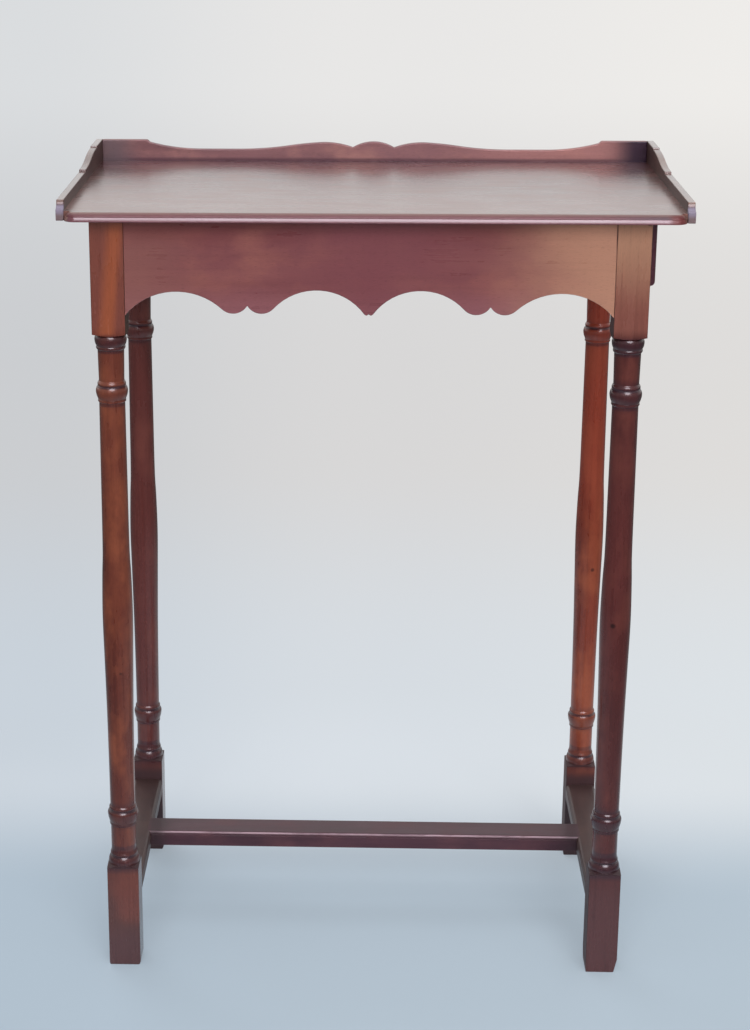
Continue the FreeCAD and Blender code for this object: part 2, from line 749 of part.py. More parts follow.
# ---------------------------------------------------------------- drawer
def tails(x_root, way, y0, length):
    """Dovetail tails standing on a drawer side's end at x_root, pointing along `way`."""
    pitch = (drawer_side_top - drawer_z0) / tail_count
    narrow = pitch / 4
    tip = x_root + way * length
    found = []
    for index in range(tail_count):
        middle = drawer_z0 + (index + 0.5) * pitch
        shape = Outline(in_xz(y0), (x_root, middle - narrow))
        shape.line((tip, middle - narrow - tail_flare), (tip, middle + narrow + tail_flare),
                   (x_root, middle + narrow))
        found.append(shape.face().extrude(Vector(0, drawer_side_thickness, 0)))
    return found


def bottom_groove(spare):
    """The space of the drawer's bottom panel, with `spare` room past its edges."""
    reach = groove_depth - groove_spare + spare
    z0 = drawer_z0 + drawer_bottom_lift
    return box(drawer_back_x, drawer_front_x + reach,
               drawer_y0 + drawer_side_thickness - reach, drawer_y1 - drawer_side_thickness + reach,
               z0, z0 + drawer_bottom_thickness)


def side_y(end):
    return drawer_y0 if end < 0 else drawer_y1 - drawer_side_thickness


def drawer_side(end):
    y0 = side_y(end)
    back_tails_root = drawer_back_x + drawer_back_thickness
    blank = box(back_tails_root, drawer_front_x, y0, y0 + drawer_side_thickness,
                drawer_z0, drawer_side_top)
    pieces = [blank] + tails(drawer_front_x, 1, y0, tail_length)
    pieces += tails(back_tails_root, -1, y0, drawer_back_thickness)
    return joined(pieces).cut(bottom_groove(groove_spare))


def drawer_front():
    """A lipped front: a block inside the opening, a fillet and a thumbnail round outside it."""
    y0, y1 = drawer_y0, drawer_y1
    lip_y0 = inner_front_y - lip_overlap
    lip_y1 = inner_back_y + lip_overlap
    lip_z0 = drawer_floor - lip_rail_overlap
    lip_x = right_x + lip_gap
    block = box(drawer_front_x, lip_x, y0, y1, drawer_z0, drawer_z1)
    fillet = box(lip_x, lip_x + lip_fillet_thickness, lip_y0, lip_y1, lip_z0, drawer_z1)
    thumb = box(lip_x, drawer_face_x, lip_y0 + lip_inset, lip_y1 - lip_inset, lip_z0 + lip_inset,
                drawer_z1 - lip_inset)
    face_edges = [edge for edge in thumb.Edges if edge.BoundBox.XMin > drawer_face_x - 0.01]
    thumb = thumb.makeFillet(lip_round, face_edges)
    front = joined([block, fillet, thumb])
    for end in (-1, 1):
        for tail in tails(drawer_front_x, 1, side_y(end), tail_length):
            front = front.cut(tail)
    front = front.cut(bottom_groove(groove_spare))
    return front.cut(knob_stem(0))


def drawer_back():
    """Stands on the bottom panel, dovetailed between the sides."""
    z0 = drawer_z0 + drawer_bottom_lift + drawer_bottom_thickness
    back = box(drawer_back_x, drawer_back_x + drawer_back_thickness, drawer_y0, drawer_y1,
               z0, drawer_side_top)
    for end in (-1, 1):
        for tail in tails(drawer_back_x + drawer_back_thickness, -1, side_y(end), drawer_back_thickness):
            back = back.cut(tail)
    for nail in nail_places():
        back = back.cut(bottom_nail(*nail))
    return back


def drawer_bottom():
    panel = bottom_groove(0)
    for end in (-1, 1):
        for tail in tails(drawer_back_x + drawer_back_thickness, -1, side_y(end), drawer_back_thickness):
            panel = panel.cut(tail)
    for nail in nail_places():
        panel = panel.cut(bottom_nail(*nail))
    return panel


def nail_places():
    x = drawer_back_x + drawer_back_thickness / 2
    span = drawer_y1 - drawer_y0
    return [(x, drawer_y0 + span * (index + 1) / (nail_count + 1)) for index in range(nail_count)]


def bottom_nail(x, y):
    z0 = drawer_z0 + drawer_bottom_lift
    head = Part.makeCylinder(nail_head_radius, nail_head_height, Vector(x, y, z0), Vector(0, 0, 1))
    shank = Part.makeCylinder(nail_radius, nail_length, Vector(x, y, z0), Vector(0, 0, 1))
    return head.fuse(shank)


def drawer_nails():
    return Part.Compound([bottom_nail(*place).removeSplitter() for place in nail_places()])


# ---------------------------------------------------------------- knob
def knob_stem(past):
    """The stem from `past` behind the drawer front's back to its face."""
    start = drawer_front_x - past
    return Part.makeCylinder(knob_stem_radius, drawer_face_x - start, Vector(start, middle_y, knob_z),
                             Vector(1, 0, 0))


def drawer_knob():
    """A turned brass knob in one piece with the stem that runs through the drawer front."""
    stem = drawer_front_x - knob_stem_past - drawer_face_x
    outline = Outline(lambda out, r: Vector(drawer_face_x + out, middle_y + r, knob_z), (stem, 0))
    outline.line((stem, knob_stem_radius), (0, knob_stem_radius), (0, knob_foot_radius),
                 (knob_foot_thickness / 2, knob_foot_radius), (knob_foot_thickness, knob_foot_rim))
    outline.arc((knob_neck_place, knob_neck_radius), -knob_neck_bulge)
    outline.arc((knob_rim_place, knob_radius), -knob_neck_bulge)
    outline.arc((knob_projection, knob_top_radius), knob_dome_bulge)
    outline.line((knob_projection, 0))
    return outline.face().revolve(Vector(drawer_face_x, middle_y, knob_z), Vector(1, 0, 0), 360)


def knob_nut():
    foot = Vector(drawer_front_x - knob_nut_thickness, middle_y, knob_z)
    nut = Part.makeCylinder(knob_nut_radius, knob_nut_thickness, foot, Vector(1, 0, 0))
    return nut.cut(knob_stem(knob_stem_past))


# ---------------------------------------------------------------- the table
def table():
    stretchers = [side_stretcher(-1), side_stretcher(1)]
    nodes = {
        "top_board": top_board(),
        "back_gallery": back_gallery(),
        "left_end_gallery": end_gallery(-1),
        "right_end_gallery": end_gallery(1),
        "leg_front_left": leg(-1, -1),
        "leg_front_right": leg(1, -1),
        "leg_back_left": leg(-1, 1),
        "leg_back_right": leg(1, 1),
        "front_apron": front_apron(),
        "back_rail": back_rail(),
        "left_end_rail": left_end_rail(),
        "drawer_rail": drawer_rail(),
        "drawer_runner_front": drawer_runner(-1),
        "drawer_runner_back": drawer_runner(1),
        "drawer_guide_front": drawer_guide(-1),
        "drawer_guide_back": drawer_guide(1),
        "glue_blocks": glue_blocks(),
        "top_screws": top_screws(),
        "side_stretcher_left": stretchers[0],
        "side_stretcher_right": stretchers[1],
        "cross_stretcher": cross_stretcher(stretchers),
        "drawer_front": drawer_front(),
        "drawer_side_front": drawer_side(-1),
        "drawer_side_back": drawer_side(1),
        "drawer_back": drawer_back(),
        "drawer_bottom": drawer_bottom(),
        "drawer_nails": drawer_nails(),
        "drawer_knob": drawer_knob(),
        "knob_nut": knob_nut(),
    }
    return nodes


os.makedirs("parts", exist_ok=True)
for name, shape in table().items():
    shape.exportStep("parts/" + name + ".step")
    print(name, "solids", len(shape.Solids), "valid", shape.isValid(), "volume", round(shape.Volume))
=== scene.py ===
import json
import math

import bmesh
import bpy
from mathutils import Matrix, Vector
from mathutils.geometry import interpolate_bezier

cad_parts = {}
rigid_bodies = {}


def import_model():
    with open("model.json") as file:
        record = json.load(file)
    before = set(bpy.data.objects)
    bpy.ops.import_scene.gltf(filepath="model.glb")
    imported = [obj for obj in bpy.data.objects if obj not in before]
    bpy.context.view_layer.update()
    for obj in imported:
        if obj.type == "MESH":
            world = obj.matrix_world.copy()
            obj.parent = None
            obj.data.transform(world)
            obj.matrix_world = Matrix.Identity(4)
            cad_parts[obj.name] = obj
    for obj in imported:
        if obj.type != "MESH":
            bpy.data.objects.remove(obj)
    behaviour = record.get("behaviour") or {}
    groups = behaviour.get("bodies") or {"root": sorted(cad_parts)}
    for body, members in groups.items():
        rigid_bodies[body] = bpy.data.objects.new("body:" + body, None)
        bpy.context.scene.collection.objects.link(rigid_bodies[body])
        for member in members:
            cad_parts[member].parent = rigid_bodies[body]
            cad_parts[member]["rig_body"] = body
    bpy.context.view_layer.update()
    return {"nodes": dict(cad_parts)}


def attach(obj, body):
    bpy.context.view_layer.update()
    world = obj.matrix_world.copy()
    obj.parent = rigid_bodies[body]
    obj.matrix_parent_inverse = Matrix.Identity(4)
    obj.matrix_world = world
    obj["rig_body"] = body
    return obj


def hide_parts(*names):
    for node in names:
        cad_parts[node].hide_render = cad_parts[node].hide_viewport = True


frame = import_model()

# Looks of a mahogany tray top tea table: a scalloped apron, ring-turned legs, a three-quarter
# gallery round a moulded board, an H stretcher and an end drawer. Drawings are in millimetres.
# +Z is up, +X is the drawer end and -Y the scalloped front, with the floor at zero.
MM = 0.001

# ---------------------------------------------------------------- sizes, as the frame has them
tray_height = 711.0
board_underside = 703.4
half_board = 258.5
board_front_y = -150.95
board_back_y = 144.55
board_corner_radius = 10.0
gallery_thickness = 6.4
gallery_top = tray_height + 19.3
frame_x = -3.75
half_leg = 14.5
leg_rows = {"front": -112.45, "back": 129.55}
leg_columns = {"left": -225.25, "right": 217.75}
inner_left_x = -210.75
inner_right_x = 203.25
front_y = -126.95
middle_y = 8.55
stretcher_top = 80.0
drawer_face_x = 239.75
knob_z = 672.0
bead_top = board_underside + 3.6


# ---------------------------------------------------------------- drawing and shaping
def verts_of(items):
    return [item for item in items if isinstance(item, bmesh.types.BMVert)]


class Drawing:
    """A chain of edges in its own bmesh, in the plane that `place` maps to the table."""

    def __init__(self, place, start):
        self.bm = bmesh.new()
        self.place = place
        origin = place(0, 0)
        self.normal = (place(1, 0) - origin).cross(place(0, 1) - origin).normalized()
        self.first = self.tip = self.bm.verts.new(place(*start))
        self.here = start

    def line(self, *points):
        for point in points:
            vert = self.bm.verts.new(self.place(*point))
            self.bm.edges.new((self.tip, vert))
            self.tip = vert
            self.here = point
        return self

    def arc(self, end, bulge, steps):
        """Arc to `end`, standing out by `bulge` to the left of the way there."""
        start = Vector(self.here)
        chord = Vector(end) - start
        left = Vector((-chord.y, chord.x)).normalized()
        radius = (chord.length_squared / 4 + bulge ** 2) / (2 * bulge)
        centre = start + chord / 2 + left * (bulge - radius)
        angle = -4 * math.atan(2 * bulge / chord.length)
        turned = bmesh.ops.spin(self.bm, geom=[self.tip], cent=self.place(*centre), axis=self.normal,
                                angle=angle, steps=steps, use_duplicate=False)
        self.tip = verts_of(turned["geom_last"])[0]
        self.tip.co = self.place(*end)
        self.here = end
        return self

    def arc_about(self, centre, end, side, steps):
        """Arc about `centre` to `end`, on the side of the chord that `side` names."""
        radius = math.dist(end, centre)
        half = math.dist(end, self.here) / 2
        return self.arc(end, side * (radius - math.sqrt(radius ** 2 - half ** 2)), steps)

    def sweep(self, *points, steps=6):
        """A smooth curve through `points`."""
        stations = [Vector(point).to_3d() for point in (self.here,) + points]
        padded = [2 * stations[0] - stations[1]] + stations + [2 * stations[-1] - stations[-2]]
        for index in range(1, len(padded) - 2):
            before, start, end, after = padded[index - 1:index + 3]
            lead = (end - before) / (end - before).length * (end - start).length / 3
            trail = (after - start) / (after - start).length * (end - start).length / 3
            curve = interpolate_bezier(start, start + lead, end - trail, end, steps + 1)
            self.line(*[(spot.x, spot.y) for spot in curve[1:]])
        return self

    def filled(self):
        """Closes the outline and fills it."""
        if self.tip is not self.first:
            self.bm.edges.new((self.tip, self.first))
        bmesh.ops.edgeloop_fill(self.bm, edges=self.bm.edges[:])
        return self.bm


def in_xz(y):
    return lambda x, z: Vector((x, y, z)) * MM


def in_yz(x):
    return lambda y, z: Vector((x, y, z)) * MM


def thickened(bm, way):
    """Pulls a filled outline into a solid, along `way` in millimetres."""
    pulled = bmesh.ops.extrude_face_region(bm, geom=bm.faces[:], use_keep_orig=True)
    bmesh.ops.translate(bm, vec=Vector(way) * MM, verts=verts_of(pulled["geom"]))
    bmesh.ops.recalc_face_normals(bm, faces=bm.faces[:])
    return bm


def turned(bm, centre, axis, steps):
    """Turns a drawn profile into a solid of revolution about an axis through `centre`."""
    bmesh.ops.spin(bm, geom=bm.verts[:] + bm.edges[:], cent=Vector(centre) * MM, axis=axis,
                   angle=math.tau, steps=steps, use_merge=True, use_duplicate=False)
    bmesh.ops.remove_doubles(bm, verts=bm.verts[:], dist=1e-7)
    bmesh.ops.recalc_face_normals(bm, faces=bm.faces[:])
    return bm


def block(x0, x1, y0, y1, z0, z1):
    """A plain block between two corners."""
    bm = bmesh.new()
    bmesh.ops.create_cube(bm, size=MM)
    bmesh.ops.scale(bm, vec=(x1 - x0, y1 - y0, z1 - z0), verts=bm.verts[:])
    middle = Vector((x0 + x1, y0 + y1, z0 + z1)) / 2
    bmesh.ops.translate(bm, vec=middle * MM, verts=bm.verts[:])
    return bm


def rounded(bm, edges, size, segments=3):
    """Rounds edges over by `size` millimetres."""
    bmesh.ops.bevel(bm, geom=edges, offset=size * MM, offset_type="OFFSET", segments=segments,
                    profile=0.5, affect="EDGES", material=-1, clamp_overlap=True)
    return bm


def as_object(name, bm):
    mesh = bpy.data.meshes.new(name)
    bm.to_mesh(mesh)
    bm.free()
    made = bpy.data.objects.new(name, mesh)
    bpy.context.scene.collection.objects.link(made)
    return made


def combined(first, second, operation):
    """The bmesh of two solids united, intersected or subtracted."""
    kept = as_object("kept", first)
    tool = as_object("tool", second)
    cutter = kept.modifiers.new("cutter", "BOOLEAN")
    cutter.object = tool
    cutter.operation = operation
    cutter.solver = "EXACT"
    bpy.context.view_layer.update()
    result = bmesh.new()
    result.from_object(kept, bpy.context.evaluated_depsgraph_get())
    for spent in (kept, tool):
        mesh = spent.data
        bpy.data.objects.remove(spent)
        bpy.data.meshes.remove(mesh)
    bmesh.ops.remove_doubles(result, verts=result.verts[:], dist=1e-6)
    return result


def put(name, bm, node, recipe, arris=0.0, segments=2):
    """Finishes a piece: it stands for a node and rides on its body."""
    crease = math.radians(33)
    made = as_object(name, bm)
    made.data.materials.append(recipe.material)
    made.data.shade_smooth()
    made.data.set_sharp_from_angle(angle=crease)
    if arris:
        soft = made.modifiers.new("arris", "BEVEL")
        soft.width = arris * MM
        soft.segments = segments
        soft.limit_method = "ANGLE"
        soft.angle_limit = crease
        soft.miter_outer = "MITER_ARC"
        soft.use_clamp_overlap = True
    level = made.modifiers.new("flats", "WEIGHTED_NORMAL")
    level.keep_sharp = True
    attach(made, frame["nodes"][node]["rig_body"])
    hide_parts(node)


# ---------------------------------------------------------------- materials
def paint(red, green, blue):
    """A screen colour, 0 to 255, as the linear colour that a shader takes."""
    parts = [value / 255 for value in (red, green, blue)]
    linear = [part / 12.92 if part <= 0.04045 else ((part + 0.055) / 1.055) ** 2.4 for part in parts]
    return (*linear, 1.0)


class Nodes:
    """The shader nodes of one material or world, added one by one."""

    def __init__(self, tree):
        self.tree = tree

    def add(self, kind, inputs=None, **settings):
        made = self.tree.nodes.new(kind)
        for key, value in settings.items():
            setattr(made, key, value)
        for key, value in (inputs or {}).items():
            self.feed(made.inputs[key], value)
        return made

    def feed(self, socket, value):
        if isinstance(value, bpy.types.NodeSocket):
            self.tree.links.new(value, socket)
        else:
            socket.default_value = value

    def band(self, value, low, high, to_low=0.0, to_high=1.0):
        """Passes softly from `to_low` to `to_high` while `value` goes from `low` to `high`."""
        return self.add("ShaderNodeMapRange", {0: value, 1: low, 2: high, 3: to_low, 4: to_high},
                        interpolation_type="SMOOTHSTEP").outputs[0]

    def sums(self, operation, first, second=0.5, third=0.5):
        return self.add("ShaderNodeMath", {0: first, 1: second, 2: third},
                        operation=operation).outputs[0]

    def times(self, first, *others):
        for other in others:
            first = self.sums("MULTIPLY", first, other)
        return first

    def blend(self, share, first, second):
        """A number between `first` and `second`."""
        return self.add("ShaderNodeMix", {0: share, 2: first, 3: second}, data_type="FLOAT").outputs[0]

    def mixed(self, share, first, second, blend="MIX"):
        """A colour between `first` and `second`."""
        made = self.add("ShaderNodeMix", data_type="RGBA", blend_type=blend)
        self.feed(made.inputs["Factor"], share)
        self.feed(made.inputs[6], first)
        self.feed(made.inputs[7], second)
        return made.outputs[2]

    def tinted(self, share, colour, red, green, blue):
        """The colour multiplied by a tint."""
        return self.mixed(share, colour, (red, green, blue, 1), "MULTIPLY")

    def background(self, colour, strength):
        return self.add("ShaderNodeBackground", {"Color": colour, "Strength": strength}).outputs[0]

    def either(self, share, first, second):
        """The first shader where `share` is 0, the second where it is 1."""
        return self.add("ShaderNodeMixShader", {0: share, 1: first, 2: second}).outputs[0]


class Recipe(Nodes):
    """A material; its patterns are placed by the table's own coordinates."""

    def __init__(self, name):
        self.material = bpy.data.materials.new(name)
        self.material.use_nodes = True
        super().__init__(self.material.node_tree)
        self.shader = self.tree.nodes["Principled BSDF"]
        self.spot = self.add("ShaderNodeTexCoord").outputs["Object"]

    def finish(self, colour, roughness, height, strength, distance=0.0004):
        """Feeds the shader its colour, roughness and bump."""
        bump = self.add("ShaderNodeBump", {"Height": height, "Strength": strength,
                                           "Distance": distance}).outputs[0]
        self.feed(self.shader.inputs["Base Color"], colour)
        self.feed(self.shader.inputs["Roughness"], roughness)
        self.feed(self.shader.inputs["Normal"], bump)

    def figure(self, grain, along, across, seed, detail, roughness, distortion=0.0):
        """Noise pulled out along the grain: cells per metre along and across it."""
        scale = {"X": (along, across, across), "Y": (across, along, across),
                 "Z": (across, across, along)}[grain]
        place = (seed * 3.1, seed * 7.7, seed * 5.3)
        spot = self.add("ShaderNodeMapping", {"Vector": self.spot, "Location": place, "Scale": scale})
        return self.add("ShaderNodeTexNoise", {"Vector": spot.outputs[0], "Scale": 1.0, "Detail": detail,
                                               "Roughness": roughness,
                                               "Distortion": distortion}).outputs["Fac"]

    def axis(self, letter):
        return self.add("ShaderNodeSeparateXYZ", {0: self.spot}).outputs[letter]

    def along(self, letter, start, end, low=0.0, high=1.0):
        """Passes from `low` to `high` along an axis, between two places in millimetres."""
        return self.band(self.axis(letter), start * MM, end * MM, low, high)

    def near(self, x, y, z, core, rim, share):
        """`share` inside `core` millimetres of a point, falling to 0 at `rim`."""
        point = (x * MM, y * MM, z * MM)
        away = self.add("ShaderNodeVectorMath", {0: self.spot, 1: point}, operation="DISTANCE")
        return self.band(away.outputs["Value"], core * MM, rim * MM, share, 0.0)

    def crevice(self, reach):
        """1 in the open, falling to 0 in quirks and corners."""
        return self.add("ShaderNodeAmbientOcclusion", {"Distance": reach * MM}, samples=6,
                        only_local=True).outputs["AO"]

    def arris(self, reach):
        """1 on the flats, falling to 0 where an edge stands out."""
        return self.add("ShaderNodeAmbientOcclusion", {"Distance": reach * MM}, samples=6,
                        only_local=True, inside=True).outputs["AO"]


# ---------------------------------------------------------------- looks laid over the wood
def shaded(letter, start, end, tone, share=1.0, ragged=0.0):
    """The wood passes to `tone` along an axis, over millimetres, with an uneven border."""
    def laid(recipe, colour):
        place = recipe.axis(letter)
        if ragged:
            drift = recipe.figure("X", 18, 24, start, 3.0, 0.55)
            drift = recipe.sums("MULTIPLY_ADD", drift, ragged * MM, -ragged * MM / 2)
            place = recipe.sums("ADD", place, drift)
        return recipe.mixed(recipe.band(place, start * MM, end * MM, 0.0, share), colour, tone)
    return laid


def tray_side(look):
    """Keeps a look to the back gallery's face over the tray."""
    def laid(recipe, colour):
        front = recipe.along("Y", board_back_y + 0.3, board_back_y + 1.0, 1.0, 0.0)
        return recipe.mixed(front, colour, look(recipe, colour))
    return laid


def knot(x, y, z, size, depth=0.8):
    """A small dark knot or bruise round a point on the surface."""
    def laid(recipe, colour):
        return recipe.tinted(recipe.near(x, y, z, size * 0.4, size, depth), colour, 0.16, 0.12, 0.12)
    return laid


def soft_patch(x, y, z, size, tone):
    """A patch of another tone round a point on the surface, with a soft border."""
    def laid(recipe, colour):
        return recipe.mixed(recipe.near(x, y, z, size * 0.2, size, 0.75), colour, tone)
    return laid


def pale_stripe(left, right, foot, top, slope, front, tone):
    """A leaning paler strip up the front of a block, faded at its top."""
    def laid(recipe, colour):
        z = recipe.axis("Z")
        wander = recipe.figure("Z", 12, 60, 21.0, 2.0, 0.5)
        x = recipe.sums("ADD", recipe.axis("X"), recipe.sums("MULTIPLY_ADD", wander, 0.004, -0.002))
        x = recipe.sums("ADD", x, recipe.sums("MULTIPLY_ADD", z, -slope, slope * foot * MM))
        left_side = recipe.band(x, (left - 5) * MM, (left + 5) * MM)
        right_side = recipe.band(x, (right - 4) * MM, (right + 4) * MM, 1.0, 0.0)
        head = recipe.band(z, (top - 14) * MM, top * MM, 1.0, 0.2)
        heel = recipe.band(z, (foot - 5) * MM, foot * MM)
        face = recipe.along("Y", front, front + 8, 0.95, 0.0)
        return recipe.mixed(recipe.times(left_side, right_side, head, heel, face), colour, tone)
    return laid


def turned_dirt_and_shade(*places):
    """Old dirt and polish caught by the turning, with painted shade under the top block and in the grooves;
    each place is (height, half height, share).
    """
    def laid(recipe, colour):
        up = recipe.axis("Z")
        clotted = recipe.figure("X", 90, 90, 31.0, 3.0, 0.6)
        patchy = recipe.band(clotted, 0.3, 0.6, 0.7, 1.0)
        for height, reach, share in places:
            off = recipe.sums("ABSOLUTE", recipe.sums("SUBTRACT", up, height * MM))
            darkening = recipe.band(off, reach * 0.5 * MM, reach * MM, share, 0.0)
            colour = recipe.mixed(recipe.times(darkening, patchy), colour, paint(50, 28, 40))
        return colour
    return laid


def painted_highlight_round(front, top):
    """The round along a bar's front edge, lightened into a painted highlight."""
    def laid(recipe, colour):
        heel = recipe.along("Z", top - 1.7, top - 1.0)
        head = recipe.along("Z", top - 0.4, top - 0.1, 1.0, 0.0)
        face = recipe.along("Y", front + 1.8, front + 2.6, 1.0, 0.0)
        highlight_breaks = recipe.figure("X", 30, 90, 8.0, 3.0, 0.6)
        patchy = recipe.band(highlight_breaks, 0.35, 0.6, 0.4, 0.9)
        return recipe.mixed(recipe.times(heel, head, face, patchy), colour, paint(186, 156, 168))
    return laid


def open_seam(recipe, colour):
    """The apron's joint with the right leg, open and dirty at its top."""
    beside = recipe.along("X", inner_right_x - 1.25, inner_right_x - 0.25, 0.0, 0.85)
    share = recipe.times(beside, recipe.along("Z", 668, 692, 0.25, 1.0))
    return recipe.mixed(share, colour, paint(58, 36, 40))


def bead_pink_sheen(recipe, colour):
    """The bead under the board's ovolo, tinted pink: a painted sheen that colours its reflection."""
    front = recipe.along("Y", board_front_y + 2.35, board_front_y + 3.35, 1.0, 0.0)
    share = recipe.times(recipe.along("Z", bead_top, bead_top + 0.4, 0.8, 0.0), front)
    return recipe.mixed(share, colour, paint(106, 58, 74))


def lip_edge(recipe, colour):
    """Dark purple polish on the end grain of the drawer's lip, beside the front leg."""
    end_grain = recipe.along("Y", -101.5, -99.5, 1.0, 0.0)
    outer_part = recipe.along("X", 232.2, 234.5, 0.55, 1.0)
    return recipe.mixed(recipe.times(end_grain, outer_part), colour, paint(82, 44, 56))


# ---------------------------------------------------------------- woods and metals
def mahogany(name, grain, tones, seed, polish=0.26, coat=0.6, gloss=0.08, streaks=0.3, waves=0.08,
             looks=()):
    """Old polished mahogany. `tones` is (deep, body, warm); `looks` are laid over the figure."""
    recipe = Recipe(name)
    deep, body, warm = tones
    broad = recipe.figure(grain, 3.2, 20, seed, 3.0, 0.55, 0.6)
    streak = recipe.figure(grain, 9, 240, seed + 1, 4.0, 0.6, 0.3)
    fibre = recipe.figure(grain, 55, 1500, seed + 2, 2.0, 0.6)
    pore = recipe.figure(grain, 210, 3600, seed + 3, 1.0, 0.4)
    mottle = recipe.figure(grain, 17, 30, seed + 4, 4.0, 0.6)

    colour = recipe.mixed(recipe.band(broad, 0.30, 0.70), deep, body)
    colour = recipe.mixed(recipe.band(mottle, 0.44, 0.72, 0.0, 0.85), colour, warm)
    for laid in looks:
        colour = laid(recipe, colour)
    dark_streak = recipe.band(streak, 0.30, 0.52, streaks, 0.0)
    colour = recipe.tinted(dark_streak, colour, 0.42, 0.32, 0.33)
    light_fibre = recipe.band(fibre, 0.55, 0.75, 0.0, 0.16)
    colour = recipe.tinted(light_fibre, colour, 1.8, 1.55, 1.45)
    pores = recipe.band(pore, 0.30, 0.38, 1.0, 0.0)
    colour = recipe.tinted(recipe.times(pores, 0.4), colour, 0.34, 0.26, 0.26)
    # Darker in quirks and corners: old dirt, and painted shade where the occlusion closes in.
    hollow_dirt_and_shade = recipe.band(recipe.crevice(4), 0.35, 0.92, 0.7, 0.0)
    colour = recipe.tinted(hollow_dirt_and_shade, colour, 0.26, 0.17, 0.17)
    rubbed = recipe.times(recipe.band(recipe.arris(1.6), 0.45, 0.85, 0.7, 0.0),
                          recipe.band(mottle, 0.36, 0.62, 0.35, 1.0))
    colour = recipe.tinted(rubbed, colour, 1.75, 1.6, 1.55)

    dull = recipe.sums("MULTIPLY_ADD", recipe.band(mottle, 0.3, 0.7), 0.10, polish - 0.05)
    dull = recipe.sums("MULTIPLY_ADD", recipe.band(streak, 0.3, 0.7), 0.05, dull)
    dull = recipe.sums("MULTIPLY_ADD", rubbed, 0.12, dull)
    height = recipe.sums("MULTIPLY_ADD", pores, -0.6, fibre)
    height = recipe.sums("MULTIPLY_ADD", broad, 0.6, height)
    recipe.finish(colour, dull, height, waves)
    recipe.shader.inputs["Coat Weight"].default_value = coat
    recipe.shader.inputs["Coat Roughness"].default_value = gloss
    return recipe


def dull_where(recipe, share, roughness, coat, tone):
    """Where `share` is 1, the surface takes this roughness, coat and tone; callers use it for worn polish
    and for painted shade and reflections.
    """
    inputs = recipe.shader.inputs
    colour = inputs["Base Color"].links[0].from_socket
    recipe.feed(inputs["Base Color"], recipe.mixed(recipe.times(share, 0.8), colour, tone))
    polish = inputs["Roughness"].links[0].from_socket
    recipe.feed(inputs["Roughness"], recipe.blend(share, polish, roughness))
    weight = inputs["Coat Weight"]
    full = weight.links[0].from_socket if weight.links else weight.default_value
    recipe.feed(weight, recipe.blend(share, full, coat))


def board_wood():
    """The board, greyed towards the front and darkened at the back as painted reflections, with dirt and
    painted shade by the gallery, a dull ovolo in painted shade, a bead with a painted pink sheen and a red
    corner.
    """
    tones = (paint(78, 36, 34), paint(106, 54, 48), paint(124, 68, 56))
    # Painted reflections: paler and greyer towards the front, darker under the back gallery's reflection.
    pale_front_reflection = shaded("Y", 60, -120, paint(140, 102, 94), 0.8)
    gallery_reflection_tone = shaded("Y", 60, 128, paint(80, 56, 62), 0.65)
    # Dirt and painted shade on the board along the back gallery's foot.
    dirt_and_shade_by_gallery = shaded("Y", 138, 144, paint(60, 32, 40), 0.8)
    recipe = mahogany("board_mahogany", "X", tones, 1.0, polish=0.26, coat=1.0, gloss=0.20,
                      streaks=0.25, waves=0.035, looks=(pale_front_reflection, gallery_reflection_tone, dirt_and_shade_by_gallery, bead_pink_sheen))

    # The ovolo is dulled and coloured with painted shade, darkest at its foot and towards the right end.
    moulded = recipe.along("Y", board_front_y + 4.55, board_front_y + 5.75, 1.0, 0.0)
    over_bead = recipe.along("Z", bead_top, bead_top + 0.4)
    below_tray = recipe.along("Z", bead_top + 1.2, tray_height + 0.1, 1.0, 0.3)
    right_end = recipe.along("X", 185, 240, 0.0, 0.8)
    ovolo_shade_tone = recipe.mixed(right_end, paint(94, 46, 60), paint(44, 30, 52))
    dull_where(recipe, recipe.times(moulded, over_bead, below_tray), 0.5, 0.15, ovolo_shade_tone)

    corner = recipe.along("X", half_board - 18.5, half_board - 10.5)
    below_arris = recipe.along("Z", tray_height - 1.0, tray_height, 1.0, 0.3)
    dull_where(recipe, recipe.times(corner, moulded, below_arris), 0.5, 0.1, paint(104, 44, 42))
    return recipe


def crest_wood():
    """The back gallery, warmer to the right, with dirt and painted shade at its foot and painted shadow
    towards its corners over the tray.
    """
    tones = (paint(119, 79, 84), paint(146, 100, 104), paint(166, 115, 110))
    warm_right = shaded("X", 40, 160, paint(170, 116, 112), 0.6, 40)
    # Dirt and painted shade along the foot, where the gallery meets the tray.
    foot_dirt_and_shade = shaded("Z", 715, 712, paint(70, 38, 52), 0.75)
    # Painted shadow on the face over the tray, deepening into the corners by the end galleries.
    right_shade = tray_side(shaded("X", 212, 240, paint(96, 66, 72), 0.65))
    right_corner_shadow = tray_side(shaded("X", 226, 248, paint(42, 24, 44), 0.95))
    left_corner_shadow = tray_side(shaded("X", -218, -250, paint(98, 84, 91), 0.8))
    return mahogany("crest_mahogany", "X", tones, 2.0, polish=0.42, coat=0.15, gloss=0.2,
                    streaks=0.15, looks=(warm_right, foot_dirt_and_shade, right_shade, right_corner_shadow, left_corner_shadow))


